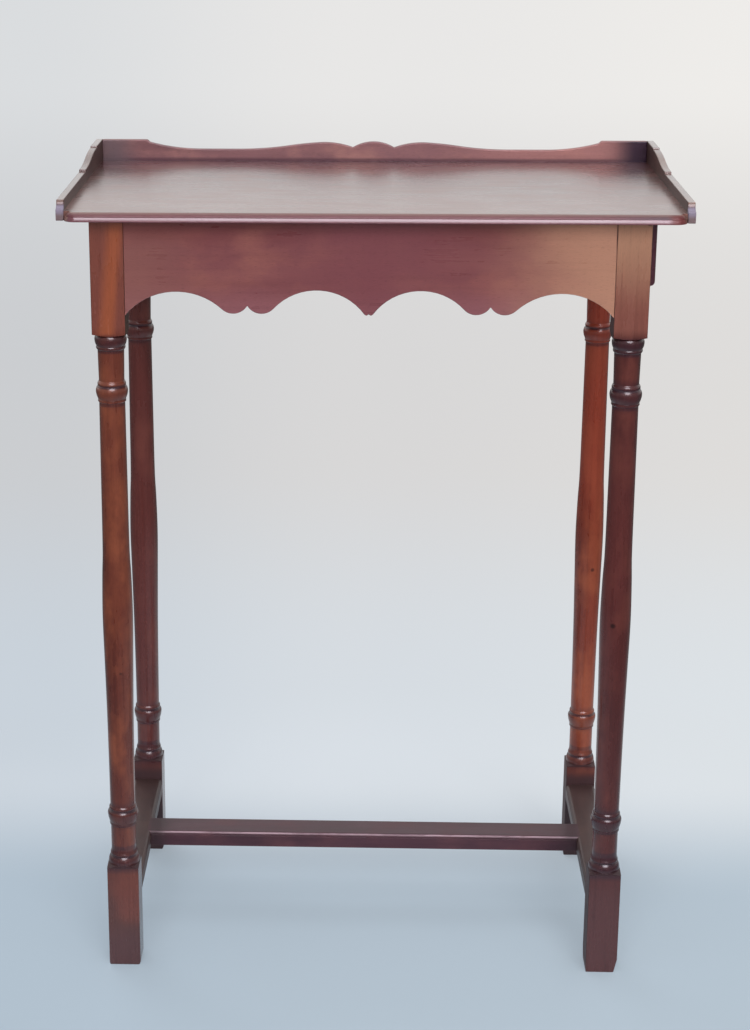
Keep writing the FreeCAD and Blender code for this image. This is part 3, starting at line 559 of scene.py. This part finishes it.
def end_gallery_wood(side, word):
    """An end gallery, its inner face dull and darkened with painted shade, its round nose coloured with a
    painted reflection, grey below and dark at the top.
    """
    tones = (paint(104, 76, 74), paint(134, 106, 98), paint(150, 120, 108))
    recipe = mahogany(word + "_gallery_mahogany", "Y", tones, 3.0 + side, polish=0.24, coat=1.0)
    recipe.shader.inputs["Specular IOR Level"].default_value = 0.35
    outward = recipe.sums("ABSOLUTE", recipe.axis("X"))
    # Painted shade on the inner face, with its polish dulled.
    shaded_inner_face = recipe.band(outward, (half_board + 0.1) * MM, (half_board + 0.9) * MM, 1.0, 0.0)
    dull_where(recipe, shaded_inner_face, 0.5, 0.0, paint(62, 44, 40))
    # The nose's colour is a painted reflection: pale bluish grey on its front, dark on its round top.
    nose = recipe.along("Y", -139.2, -136.6, 1.0, 0.0)
    nose_reflection = recipe.mixed(recipe.along("Z", 706.5, 712.0), paint(118, 100, 106), paint(150, 142, 166))
    nose_reflection_tone = recipe.mixed(recipe.along("Z", 714.0, 718.0), nose_reflection, paint(50, 36, 50))
    dull_where(recipe, nose, 0.5, 0.0, nose_reflection_tone)
    return recipe


def apron_wood():
    """The apron, in painted shade at its top under the board, plum in its lobes and tan towards the right
    leg.
    """
    tones = (paint(120, 66, 72), paint(136, 80, 82), paint(150, 90, 84))
    plum_lobes = shaded("Z", 650, 622, paint(146, 93, 102), 0.65, 14)
    left_end = shaded("X", -130, -205, paint(142, 92, 86), 0.6, 50)
    # Painted shade under the board's overhang.
    shade_under_board = shaded("Z", 672, 700, paint(114, 54, 55), 0.7, 20)
    plum_middle = soft_patch(0.0, -126.0, 672.0, 95.0, paint(121, 65, 74))
    tan_end = shaded("X", 75, 200, paint(184, 134, 112), 0.95, 60)
    return mahogany("apron_mahogany", "X", tones, 10.0, polish=0.3, coat=0.4, gloss=0.1, streaks=0.12,
                    looks=(plum_lobes, left_end, shade_under_board, plum_middle, tan_end, open_seam))


def leg_wood(row, column, tones, seed, looks):
    """A leg's wood; its shoulder is dull with dirt; its inner face and a back foot's front are dulled and
    darkened with painted shade.
    """
    gloss = {"left": 0.15, "right": 0.09}[column]
    shoulder_height = 100.3 * MM
    recipe = mahogany(row + "_" + column + "_mahogany", "Z", tones, seed, gloss=gloss, looks=looks)
    off_shoulder = recipe.sums("ABSOLUTE", recipe.sums("SUBTRACT", recipe.axis("Z"), shoulder_height))
    shoulder = recipe.band(off_shoulder, 1.0 * MM, 1.5 * MM, 1.0, 0.0)
    dull_where(recipe, shoulder, 0.55, 0.1, paint(52, 32, 36))
    if column == "right":
        # Painted shade on the inner side face.
        shaded_inner_face = recipe.along("X", inner_right_x + 0.15, inner_right_x + 0.55, 1.0, 0.0)
        dull_where(recipe, shaded_inner_face, 0.6, 0.0, paint(56, 42, 46))
    else:
        # Painted shade on the inner side of the left leg's top block.
        shaded_inner_block = recipe.times(recipe.along("X", inner_left_x - 0.55, inner_left_x - 0.15),
                                   recipe.along("Z", 590, 600))
        dull_where(recipe, shaded_inner_block, 0.6, 0.0, paint(60, 48, 38))
    if row == "back":
        # Painted shadow on the front of a back foot, under the side stretcher.
        face_y = leg_rows["back"] - half_leg
        shaded_foot_front = recipe.times(recipe.along("Y", face_y + 0.35, face_y + 0.95, 1.0, 0.0),
                                  recipe.along("Z", 85, 100, 1.0, 0.0))
        dull_where(recipe, shaded_foot_front, 0.5, 0.1, paint(54, 40, 45))
    return recipe


def case_wood(name, grain, seed, polish=0.34, coat=0.25, looks=()):
    """The darker wood of the plain rails and the drawer front."""
    tones = (paint(70, 30, 28), paint(102, 48, 40), paint(122, 62, 46))
    return mahogany(name, grain, tones, seed, polish, coat, looks=looks)


def side_stretcher_wood(name, seed):
    tones = (paint(54, 36, 36), paint(70, 48, 46), paint(82, 58, 54))
    return mahogany(name, "Y", tones, seed, polish=0.48, coat=0.1)


def middle_stretcher_wood():
    """The cross stretcher, with a painted highlight along its front round and darker towards its ends."""
    tones = (paint(60, 33, 43), paint(78, 46, 57), paint(89, 53, 60))
    left_dark_end = shaded("X", -188, -206, paint(50, 38, 42), 0.7)
    right_dark_end = shaded("X", 182, 200, paint(50, 38, 44), 0.6)
    return mahogany("middle_stretcher_mahogany", "X", tones, 15.0, polish=0.45, coat=0.12,
                    looks=(painted_highlight_round(-7.95, stretcher_top), left_dark_end, right_dark_end))


def oak(name, grain, seed, pale, dark):
    """Bare old oak of the drawer's lining and runners, greyed by dust and handling."""
    recipe = Recipe(name)
    broad = recipe.figure(grain, 3, 45, seed, 3.0, 0.6, 0.4)
    ring = recipe.figure(grain, 4, 420, seed + 1, 3.0, 0.6)
    pore = recipe.figure(grain, 120, 2600, seed + 2, 1.0, 0.5)
    darkening = recipe.figure(grain, 14, 18, seed + 3, 4.0, 0.65)
    colour = recipe.mixed(recipe.band(broad, 0.3, 0.7), dark, pale)
    colour = recipe.tinted(recipe.band(ring, 0.34, 0.56, 0.5, 0.0), colour, 0.55, 0.48, 0.42)
    pores = recipe.band(pore, 0.32, 0.42, 1.0, 0.0)
    colour = recipe.tinted(recipe.times(pores, 0.6), colour, 0.35, 0.3, 0.26)
    colour = recipe.tinted(recipe.band(darkening, 0.5, 0.75, 0.0, 0.5), colour, 0.5, 0.44, 0.4)
    height = recipe.sums("MULTIPLY_ADD", pores, -0.8, ring)
    recipe.finish(colour, recipe.band(ring, 0.3, 0.7, 0.62, 0.78), height, 0.25)
    return recipe


def aged_brass(name, bright, tarnish):
    """Old brass, tarnished in patches and in its hollows, with faint lathe marks."""
    recipe = Recipe(name)
    patch = recipe.figure("X", 260, 260, 4.0, 4.0, 0.6)
    lathe = recipe.figure("X", 2600, 40, 5.0, 2.0, 0.5)
    dark = recipe.sums("MAXIMUM", recipe.band(patch, 0.45, 0.72, 0.0, 0.8),
                       recipe.band(recipe.crevice(4), 0.4, 0.95, 0.9, 0.0))
    dull = recipe.sums("MULTIPLY_ADD", dark, 0.25, 0.22)
    recipe.finish(recipe.mixed(dark, bright, tarnish), dull, lathe, 0.12, 0.0003)
    recipe.shader.inputs["Metallic"].default_value = 1.0
    return recipe


def dull_steel(name, bare, rust):
    """Old steel with patches of rust."""
    recipe = Recipe(name)
    patch = recipe.figure("Z", 500, 500, 9.0, 4.0, 0.6)
    colour = recipe.mixed(recipe.band(patch, 0.42, 0.62), bare, rust)
    recipe.finish(colour, recipe.band(patch, 0.3, 0.7, 0.4, 0.75), patch, 0.2, 0.0003)
    recipe.shader.inputs["Metallic"].default_value = 0.85
    return recipe


# ---------------------------------------------------------------- tray
def board_section(place):
    """The moulded edge's section: worn bead, quirk and ovolo. `place` takes (depth, height)."""
    bead_height = 3.7
    quirk = 1.6
    board_thickness = 7.6
    section = Drawing(place, (board_corner_radius, 0))
    section.line((0.3, 0))
    section.arc((0, 0.5), 0.07, 3)
    section.arc((1.05, bead_height), 0.12, 8)
    section.line((quirk, bead_height), (quirk, 4.2))
    section.arc((4.8, board_thickness), 0.4, 8)
    section.line((board_corner_radius, board_thickness))
    return section.filled()


def tray_board():
    """A slab with its moulded front edge swept round both front corners."""
    turn_y = board_front_y + board_corner_radius
    turn_x = half_board - board_corner_radius
    strip = board_section(lambda back, up: Vector((-turn_x, board_front_y + back,
                                                   board_underside + up)) * MM)
    pulled = bmesh.ops.extrude_face_region(strip, geom=strip.faces[:], use_keep_orig=True)
    bmesh.ops.translate(strip, vec=(2 * turn_x * MM, 0, 0), verts=verts_of(pulled["geom"]))
    for side in (-1, 1):
        cap = [face for face in strip.faces
               if abs(face.calc_center_median().x - side * turn_x * MM) < 1e-6]
        bmesh.ops.spin(strip, geom=cap, cent=Vector((side * turn_x, turn_y, 0)) * MM, axis=(0, 0, 1),
                       angle=side * math.pi / 2, steps=16, use_duplicate=False)
        inside = [face for face in strip.faces
                  if abs(face.calc_center_median().x - side * turn_x * MM) < 1e-6
                  and len(face.verts) > 8]
        bmesh.ops.delete(strip, geom=inside, context="FACES_ONLY")
    bmesh.ops.remove_doubles(strip, verts=strip.verts[:], dist=1e-7)
    bmesh.ops.recalc_face_normals(strip, faces=strip.faces[:])
    slab = block(-half_board, half_board, turn_y, board_back_y, board_underside, tray_height)
    return combined(slab, strip, "UNION")


def end_gallery(side):
    """Stepped down by an ogee from the back corner to a low rail with a round nose."""
    back = board_back_y + gallery_thickness
    front = board_front_y + 7.0
    low = tray_height + 9.0
    flat_end = back - 48.0
    ogee_end = flat_end - 87.0
    ogee_top = gallery_top - 1.2
    foot = tray_height + 10.7
    nose = 7.0
    outline = Drawing(in_yz(half_board), (back, board_underside))
    outline.line((back, gallery_top), (flat_end, gallery_top), (flat_end, ogee_top))
    outline.arc(((flat_end + ogee_end) / 2, (ogee_top + foot) / 2), -1.0, 10)
    outline.arc((ogee_end, foot), 1.0, 10)
    outline.line((ogee_end, low), (front + nose, low))
    outline.arc((front, low - nose), nose * (1 - math.sqrt(0.5)), 10)
    outline.line((front, board_underside))
    solid = thickened(outline.filled(), (gallery_thickness, 0, 0))
    if side < 0:
        bmesh.ops.scale(solid, vec=(-1, 1, 1), verts=solid.verts[:])
        bmesh.ops.recalc_face_normals(solid, faces=solid.faces[:])
    return solid


def crest_gallery():
    """Three lobes in the middle, long hollows either side, square ends."""
    step_foot = tray_height + 17.0
    hollow = tray_height + 10.6
    swell = tray_height + 14.1
    lobe = tray_height + 17.25
    dip = tray_height + 12.5
    outline = Drawing(in_xz(board_back_y), (half_board, board_underside))
    outline.line((half_board, gallery_top), (215.5, gallery_top), (213.2, step_foot))
    outline.arc((165.0, hollow), 1.55, 14)
    outline.line((130.0, hollow))
    outline.arc((80.0, swell), 0.95, 12)
    outline.arc((48.0, lobe), -0.4, 8)
    outline.arc((19.5, dip), -1.35, 12)
    outline.arc((-19.5, dip), -5.5, 20)
    outline.arc((-48.0, lobe), -1.35, 12)
    outline.arc((-80.0, swell), -0.4, 8)
    outline.arc((-130.0, hollow), 0.95, 12)
    outline.line((-165.0, hollow))
    outline.arc((-213.2, step_foot), 1.55, 14)
    outline.line((-215.5, gallery_top), (-half_board, gallery_top), (-half_board, board_underside))
    return thickened(outline.filled(), (0, gallery_thickness, 0))


# ---------------------------------------------------------------- legs
def leg_ring(profile, middle, above, cup, groove, bead, cove):
    """A thin fillet, a cup that swells to the ring, a groove, a bead and a cove, going up."""
    fillet_top = middle - cup
    profile.line((12.2, fillet_top - 1.6), (12.2, fillet_top), (11.9, fillet_top + 0.3))
    profile.arc((13.9, middle), -0.35, 8)
    profile.arc((12.5, middle + groove), -0.45, 7)
    profile.line((12.1, middle + groove + 0.4))
    profile.arc((above + 0.35, middle + bead), -0.55, 8)
    profile.arc((above, middle + cove), (cove - bead) / 8, 5)


def leg_profile(axis_x, axis_y):
    """The whole stick's turning, upwards; `reach` stands clear of the square blocks."""
    shaft_foot = 159.8
    shaft_top = 540.5
    reach = 2 * half_leg

    def station(share, radius):
        return (radius, shaft_top - share * (shaft_top - shaft_foot))

    profile = Drawing(lambda out, z: Vector((axis_x + out, axis_y, z)) * MM, (0, 0))
    profile.line((reach, 0), (reach, 97.0), (half_leg, 101.0))
    profile.line((14.1, 101.3))
    profile.arc((12.5, 108.6), -0.63, 7)
    profile.line((12.0, 109.1))
    profile.arc((12.0, 112.0), -0.41, 7)
    profile.arc((11.3, 117.2), 0.24, 5)
    profile.line((11.3, 139.0))
    leg_ring(profile, 150.3, 11.4, 8.8, 3.9, 8.0, 9.5)
    profile.sweep(station(0.87, 11.7), station(0.75, 12.15), station(0.625, 12.95),
                  station(0.515, 13.6), station(0.42, 12.9), station(0.36, 12.0),
                  station(0.19, 11.6), station(0, 11.3), steps=7)
    leg_ring(profile, 549.8, 11.05, 6.8, 5.2, 9.4, 10.8)
    profile.line((11.5, 587.4), (11.8, 587.4))
    profile.arc((12.3, 590.6), -0.64, 6)
    profile.arc((13.8, 594.8), -0.3, 5)
    profile.arc((12.4, 600.7), -0.65, 7)
    profile.line((half_leg, 601.0), (reach, 605.0), (reach, board_underside), (0, board_underside))
    return profile.bm


def leg(axis_x, axis_y, worn_height, worn_right):
    """A square stick turned between its blocks, its foot rubbed most on its right side."""
    worn_left = 0.4
    worn_ends = 0.5
    stick = block(axis_x - half_leg, axis_x + half_leg, axis_y - half_leg, axis_y + half_leg,
                  0, board_underside)
    bmesh.ops.bisect_plane(stick, geom=stick.verts[:] + stick.edges[:] + stick.faces[:],
                           plane_co=(0, 0, worn_height * MM), plane_no=(0, 0, 1))
    soles = [vert for vert in stick.verts if vert.co.z < 1e-6]
    across = 1 - (worn_left + worn_right) / (2 * half_leg)
    bmesh.ops.scale(stick, vec=(across, 1 - worn_ends / half_leg, 1), verts=soles,
                    space=Matrix.Translation((-axis_x * MM, -axis_y * MM, 0)))
    bmesh.ops.translate(stick, vec=((worn_left - worn_right) / 2 * MM, 0, 0), verts=soles)
    uprights = [edge for edge in stick.edges if abs(edge.verts[0].co.z - edge.verts[1].co.z) > 1e-4]
    rounded(stick, uprights, 1.0)
    rim = [edge for edge in stick.edges if max(vert.co.z for vert in edge.verts) < 1e-6]
    rounded(stick, rim, 0.7, 2)
    spun = turned(leg_profile(axis_x, axis_y), (axis_x, axis_y, 0), (0, 0, 1), 88)
    return combined(stick, spun, "INTERSECT")


def put_leg(row, column, tones, seed, looks, worn_height=3.0, worn_right=1.2):
    stick = leg(leg_columns[column], leg_rows[row], worn_height, worn_right)
    put(row + "_" + column + "_leg", stick, "leg_" + row + "_" + column,
        leg_wood(row, column, tones, seed, looks))


# ---------------------------------------------------------------- apron
def apron():
    """Four arches between lobes, with a cusp between each pair and a notched pendant."""
    top = board_underside
    notch_half = 1.8
    pendant = top - 83.0
    notch = top - 81.6
    outline = Drawing(in_xz(front_y), (inner_right_x, top))
    outline.line((inner_left_x, top))
    arcs = apron_arcs()
    outline.line((frame_x - arcs[-1][0][0], top - arcs[-1][0][1]))
    for index in range(len(arcs) - 1, 0, -1):
        point = arcs[index - 1][0]
        centre, side = arcs[index][1], arcs[index][2]
        outline.arc_about((frame_x - centre[0], top - centre[1]), (frame_x - point[0], top - point[1]),
                          side, 16)
    outline.line((frame_x - notch_half, pendant), (frame_x, notch), (frame_x + notch_half, pendant))
    outline.line((frame_x + arcs[0][0][0], top - arcs[0][0][1]))
    for point, centre, side in arcs[1:]:
        outline.arc_about((frame_x + centre[0], top - centre[1]), (frame_x + point[0], top - point[1]),
                          side, 16)
    return thickened(outline.filled(), (0, 16.0, 0))


def apron_arcs():
    """From pendant to leg, each arc's (x, drop) end, its centre and side.

    `outer` and `inner` are the arches: the centre's x and drop, and the radius.
    """
    lobe = 14.0
    lobe_z = 81.8 - lobe
    outer = (163.0, 63.1 + 57.0, 57.0)
    inner = (44.0, 61.4 + 50.0, 50.0)
    outer_lobe_x = outer[0] - math.sqrt((outer[2] + lobe) ** 2 - (outer[1] - lobe_z) ** 2)
    inner_lobe_x = inner[0] + math.sqrt((inner[2] + lobe) ** 2 - (inner[1] - lobe_z) ** 2)
    half_gap = (outer_lobe_x - inner_lobe_x) / 2
    cusp = ((outer_lobe_x + inner_lobe_x) / 2, lobe_z + math.sqrt(lobe ** 2 - half_gap ** 2))

    def meeting(arch, lobe_x):
        share = arch[2] / (arch[2] + lobe)
        return (arch[0] + (lobe_x - arch[0]) * share, arch[1] + (lobe_z - arch[1]) * share)

    leg_x = 207.0
    leg_drop = outer[1] - math.sqrt(outer[2] ** 2 - (leg_x - outer[0]) ** 2)
    flank_x = 3.6
    flank_drop = inner[1] - math.sqrt(inner[2] ** 2 - (inner[0] - flank_x) ** 2)
    return [((flank_x, flank_drop), None, 0),
            (meeting(inner, inner_lobe_x), inner[:2], 1),
            (cusp, (inner_lobe_x, lobe_z), -1),
            (meeting(outer, outer_lobe_x), (outer_lobe_x, lobe_z), -1),
            ((leg_x, leg_drop), outer[:2], 1)]


# ---------------------------------------------------------------- pieces that keep the frame's shape
def put_worked(name, node, recipe, arris):
    """Puts a piece made from a merged copy of its node's mesh, its flats made whole."""
    bm = bmesh.new()
    bm.from_mesh(frame["nodes"][node].data)
    bmesh.ops.remove_doubles(bm, verts=bm.verts[:], dist=2e-6)
    bmesh.ops.dissolve_limit(bm, angle_limit=math.radians(0.6), verts=bm.verts[:], edges=bm.edges[:])
    bmesh.ops.recalc_face_normals(bm, faces=bm.faces[:])
    put(name, bm, node, recipe, arris)


# ---------------------------------------------------------------- knob
def knob():
    """A small turned brass knob with its stem through the drawer front."""
    place = (drawer_face_x, middle_y, knob_z)
    profile = Drawing(lambda out, away: Vector((drawer_face_x + out, middle_y + away, knob_z)) * MM,
                      (-26.5, 0))
    profile.line((-26.5, 1.8), (0.0, 1.8), (0.0, 6.0), (0.7, 6.0), (1.4, 4.5))
    profile.arc((4.8, 2.8), -0.8, 8)
    profile.arc((8.3, 6.5), -0.8, 8)
    profile.arc((11.5, 0.5), 1.3, 12)
    profile.line((11.5, 0))
    return turned(profile.bm, place, (1, 0, 0), 48)


# ---------------------------------------------------------------- stage, lights and camera
def floor_colour(recipe, away):
    """Bluish before the table and paler behind it, with painted shade to the left and painted light to the
    right; in metres.
    """
    x = recipe.axis("X")
    y = recipe.axis("Y")
    behind = recipe.sums("MAXIMUM", y, recipe.sums("MULTIPLY_ADD", away, 0.4, -0.36))
    colour = recipe.mixed(recipe.band(behind, 0.02, 0.30), paint(178, 192, 204), paint(214, 220, 226))
    colour = recipe.mixed(recipe.band(behind, 0.5, 1.6), colour, paint(216, 215, 215))
    colour = recipe.mixed(recipe.band(behind, 2.0, 7.0), colour, paint(232, 231, 230))
    fan = recipe.sums("DIVIDE", x, recipe.sums("MAXIMUM", recipe.sums("ADD", y, 2.0), 1.0))
    far = recipe.times(recipe.band(behind, 0.0, 0.4, 0.3, 1.0),
                       recipe.band(recipe.sums("ABSOLUTE", fan), 0.35, 1.0, 1.0, 0.0),
                       recipe.band(y, -2.0, -0.8))
    # Painted shade on the backdrop to the left, painted light to the right.
    left = recipe.times(recipe.band(fan, -0.16, 0.0, 1.0, 0.0), far)
    right = recipe.times(recipe.band(fan, 0.0, 0.2), far)
    colour = recipe.tinted(left, colour, 0.87, 0.90, 0.93)
    colour = recipe.tinted(right, colour, 1.07, 1.06, 1.04)
    return recipe.mixed(recipe.band(away, 11.0, 45.0), colour, horizon)


def floor_paint():
    """Takes the table's shadow near it, and is seen at its own colour further off."""
    recipe = Recipe("pale_floor")
    flat = recipe.add("ShaderNodeCombineXYZ", {0: recipe.axis("X"), 1: recipe.axis("Y")})
    away = recipe.add("ShaderNodeVectorMath", {0: flat.outputs[0]}, operation="LENGTH").outputs["Value"]
    colour = floor_colour(recipe, away)
    lit = recipe.shader
    recipe.feed(lit.inputs["Base Color"], recipe.tinted(1.0, colour, 1.29, 1.29, 1.29))
    lit.inputs["Roughness"].default_value = 0.9
    lit.inputs["Specular IOR Level"].default_value = 0.1
    path = recipe.add("ShaderNodeLightPath").outputs
    seen = recipe.sums("MAXIMUM", path["Is Camera Ray"], path["Is Transmission Ray"])
    bounced = recipe.band(away, 0.5, 1.1, 0.6, 0.18)
    glow = recipe.add("ShaderNodeEmission", {"Color": colour,
                                             "Strength": recipe.band(seen, 0, 1, bounced, 1.0)})
    surface = recipe.either(recipe.band(away, 0.2, 0.6, 0.4, 1.0), lit.outputs[0], glow.outputs[0])
    recipe.feed(recipe.tree.nodes["Material Output"].inputs["Surface"], surface)
    return recipe


def stage():
    """A pale floor that runs on into the pale backdrop."""
    floor = bmesh.new()
    bmesh.ops.create_grid(floor, x_segments=1, y_segments=1, size=200)
    made = as_object("studio_floor", floor)
    made.data.materials.append(floor_paint().material)


def world():
    """Pale to the eye, a soft light from all round, and a room with a window in the polish."""
    scene = bpy.context.scene
    scene.view_settings.view_transform = "Standard"
    sky = bpy.data.worlds.new("studio")
    scene.world = sky
    sky.use_nodes = True
    sky.node_tree.nodes.clear()
    nodes = Nodes(sky.node_tree)
    way = nodes.add("ShaderNodeTexCoord").outputs["Generated"]
    backward = nodes.add("ShaderNodeSeparateXYZ", {0: way}).outputs["Y"]
    room = nodes.background((1.0, 0.985, 0.98, 1), nodes.band(backward, -0.3, 0.7, 0.3, 0.78))
    window_way = Vector((0.10, -0.78, 0.60)).normalized()
    nearness = nodes.add("ShaderNodeVectorMath", {0: way, 1: window_way}, operation="DOT_PRODUCT")
    window_strength = nodes.band(nearness.outputs["Value"], 0.935, 0.965, 0.0, 7.0)
    window = nodes.background((0.95, 0.92, 1.0, 1), window_strength)
    mirrored = nodes.add("ShaderNodeAddShader", {0: room, 1: window}).outputs[0]
    ambient = nodes.background((0.96, 0.98, 1.0, 1), 0.40)
    path = nodes.add("ShaderNodeLightPath").outputs
    unseen = nodes.either(path["Is Glossy Ray"], ambient, mirrored)
    seen = nodes.sums("MAXIMUM", path["Is Camera Ray"], path["Is Transmission Ray"])
    surface = nodes.either(seen, unseen, nodes.background(horizon, 1.0))
    nodes.add("ShaderNodeOutputWorld", {"Surface": surface})


def softbox(name, place, width, height, power, colour, mirrored=True):
    """An oblong lamp that faces the table; `mirrored` lets the polish show it."""
    data = bpy.data.lights.new(name, "AREA")
    data.shape = "RECTANGLE"
    data.size = width
    data.size_y = height
    data.energy = power
    data.color = colour
    lamp = bpy.data.objects.new(name, data)
    bpy.context.scene.collection.objects.link(lamp)
    lamp.location = place
    lamp.visible_glossy = mirrored
    lamp.rotation_mode = "QUATERNION"
    lamp.rotation_quaternion = (Vector((0, 0, 0.4)) - Vector(place)).to_track_quat("-Z", "Y")


def camera():
    """Stands two metres before the table and looks down on the tray."""
    place = (-0.00773, -1.95687, 1.02449)
    yaw, pitch, roll = -0.0367, -0.3075, -0.0018
    ahead = Vector((math.sin(yaw) * math.cos(pitch), math.cos(yaw) * math.cos(pitch), math.sin(pitch)))
    level = Vector((math.cos(yaw), -math.sin(yaw), 0))
    upright = level.cross(ahead)
    right = level * math.cos(roll) + upright * math.sin(roll)
    up = upright * math.cos(roll) - level * math.sin(roll)
    data = bpy.data.cameras.new("camera")
    data.sensor_width = 36.0
    data.lens = 76.97
    data.shift_x = 0.0874
    made = bpy.data.objects.new("camera", data)
    bpy.context.scene.collection.objects.link(made)
    made.matrix_world = Matrix.Translation(place) @ Matrix((right, up, -ahead)).transposed().to_4x4()
    bpy.context.scene.camera = made


# ---------------------------------------------------------------- the table
horizon = paint(228, 227, 227)
camera()
world()
stage()
softbox("window", (0.3, -2.9, 1.6), 3.0, 1.8, 74, (1.0, 0.985, 0.96), mirrored=False)
softbox("ceiling", (0, 0.3, 3.2), 3.0, 3.0, 28, (0.93, 0.97, 1.0))
softbox("back_fill", (-1.5, 2.4, 0.55), 2.2, 0.9, 40, (0.98, 0.98, 1.0), mirrored=False)

put("tray_board", tray_board(), "top_board", board_wood(), 0.35)
put("crest_board", crest_gallery(), "back_gallery", crest_wood(), 0.8, 3)
put("left_gallery_board", end_gallery(-1), "left_end_gallery", end_gallery_wood(-1, "left"), 0.9, 3)
put("right_gallery_board", end_gallery(1), "right_end_gallery", end_gallery_wood(1, "right"), 0.9, 3)
put("scalloped_apron", apron(), "front_apron", apron_wood(), 0.6)

# Dirt and painted shade on the turning, from the top block down to the foot block: height, half height,
# share.
cap = (594.5, 9.0, 0.6)
cap_cove = (586.5, 2.0, 0.6)
upper_groove = (555.3, 1.8, 0.85)
upper_ring = (549.0, 16.0, 0.25)
upper_fillet = (539.5, 2.2, 0.5)
lower_groove = (154.4, 1.6, 0.85)
lower_ring = (150.0, 16.0, 0.4)
lower_fillet = (140.5, 2.0, 0.5)
collar_cove = (118.0, 2.5, 0.5)
collar_groove = (108.9, 1.5, 0.85)
collar = (106.5, 14.0, 0.6)
darkening = turned_dirt_and_shade(upper_groove, upper_ring, cap_cove, cap, upper_fillet, lower_groove, lower_ring,
                   lower_fillet, collar_cove, collar_groove, collar)

left_block = shaded("Z", 598, 612, paint(124, 68, 58))
orange_strip = pale_stripe(-233.0, -221.0, 605, 703, 0.10, front_y, paint(158, 84, 56))
shaft_knots = (knot(-212.6, -125, 354.4, 1.8, 0.7), knot(-215.1, -125, 334.5, 1.8, 0.7),
               knot(-213.6, -125, 321.2, 1.8, 0.6), knot(-222.6, -125, 291.3, 1.8, 0.7))
left_foot = shaded("Z", 112, 70, paint(87, 51, 47))
left_sole = shaded("Z", 48, 22, paint(84, 52, 54), 0.8)
warm_foot = soft_patch(-220.0, front_y, 78.0, 26.0, paint(116, 58, 46))
warm_heel = soft_patch(-218.5, front_y, 56.0, 20.0, paint(116, 60, 50))
# More dirt and painted shade on the left front leg's caps and rings.
left_dirt_and_shade = turned_dirt_and_shade((593.5, 10.0, 0.3), (106.5, 14.0, 0.4), (128.5, 16.0, 0.3), (151.0, 14.0, 0.2))
put_leg("front", "left", (paint(82, 34, 29), paint(120, 60, 44), paint(142, 76, 52)), 5.0,
        (left_block, orange_strip, *shaft_knots, left_foot, left_sole, warm_foot, warm_heel, darkening, left_dirt_and_shade))

right_block = shaded("Z", 598, 612, paint(134, 80, 70))
tan_block = shaded("Z", 618, 684, paint(172, 126, 103), 1.0, 16)
bruises = (knot(210.0, -125, 416.8, 3.0, 0.85), knot(214.5, -125, 342.4, 3.2, 0.85),
           knot(229.5, front_y, 700.5, 3.0))
right_foot = shaded("Z", 112, 70, paint(85, 47, 48))
# More dirt and painted shade on the right front leg's rings, caps and foot.
right_dirt_and_shade = turned_dirt_and_shade((552.0, 14.0, 0.45), (594.0, 11.0, 0.3), (151.0, 15.0, 0.35), (107.0, 15.0, 0.4))
put_leg("front", "right", (paint(66, 27, 28), paint(94, 43, 41), paint(110, 56, 49)), 6.2,
        (right_block, tan_block, *bruises, right_foot, darkening, right_dirt_and_shade), worn_height=13.0, worn_right=2.8)

back_foot = shaded("Z", 112, 70, paint(88, 50, 46))
put_leg("back", "left", (paint(76, 34, 32), paint(106, 52, 48), paint(118, 62, 54)), 7.4,
        (back_foot, darkening))

red_top = soft_patch(210.0, 128.0, 590.0, 60.0, paint(154, 56, 38))
red_shaft = shaded("Z", 330, 420, paint(148, 60, 42), 0.7, 30)
specks = (knot(221.1, 117, 311.2, 2.6), knot(208.3, 117, 297.4, 2.2))
put_leg("back", "right", (paint(112, 46, 32), paint(152, 66, 44), paint(168, 86, 56)), 8.6,
        (red_top, red_shaft, *specks, back_foot, darkening))

put_worked("rear_rail", "back_rail", case_wood("rail_mahogany_x", "X", 11.0), 0.4)
end_rail_wood = case_wood("rail_mahogany_y", "Y", 12.0)
put_worked("left_rail", "left_end_rail", end_rail_wood, 0.4)
put_worked("rail_under_drawer", "drawer_rail", end_rail_wood, 0.6)
for side, seed in (("left", 13.0), ("right", 14.0)):
    put_worked(side + "_stretcher", "side_stretcher_" + side,
               side_stretcher_wood(side + "_stretcher_mahogany", seed), 0.25)
put_worked("middle_stretcher", "cross_stretcher", middle_stretcher_wood(), 0.25)
drawer_wood = case_wood("drawer_mahogany", "Y", 16.0, polish=0.26, coat=0.6, looks=(lip_edge,))
put_worked("drawer_face", "drawer_front", drawer_wood, 0.3)

lining = oak("lining_oak", "X", 1.0, paint(170, 138, 100), paint(132, 100, 68))
for name, node in (("front_drawer_side", "drawer_side_front"),
                   ("rear_drawer_side", "drawer_side_back"),
                   ("drawer_back_board", "drawer_back"),
                   ("drawer_bottom_board", "drawer_bottom")):
    put_worked(name, node, lining, 0.3)

runner_oak = oak("runner_oak", "X", 2.0, paint(142, 112, 80), paint(104, 78, 54))
for name, node in (("front_runner", "drawer_runner_front"),
                   ("rear_runner", "drawer_runner_back"),
                   ("front_guide", "drawer_guide_front"),
                   ("rear_guide", "drawer_guide_back"),
                   ("rubbed_blocks", "glue_blocks")):
    put_worked(name, node, runner_oak, 0.4)

brass = aged_brass("knob_brass", paint(200, 158, 92), paint(96, 70, 42))
put("brass_knob", knob(), "drawer_knob", brass)
put_worked("brass_nut", "knob_nut", brass, 0.3)
steel = dull_steel("screw_steel", paint(120, 116, 112), paint(84, 58, 44))
for node in ("top_screws", "drawer_nails"):
    frame["nodes"][node].data.materials.clear()
    frame["nodes"][node].data.materials.append(steel.material)
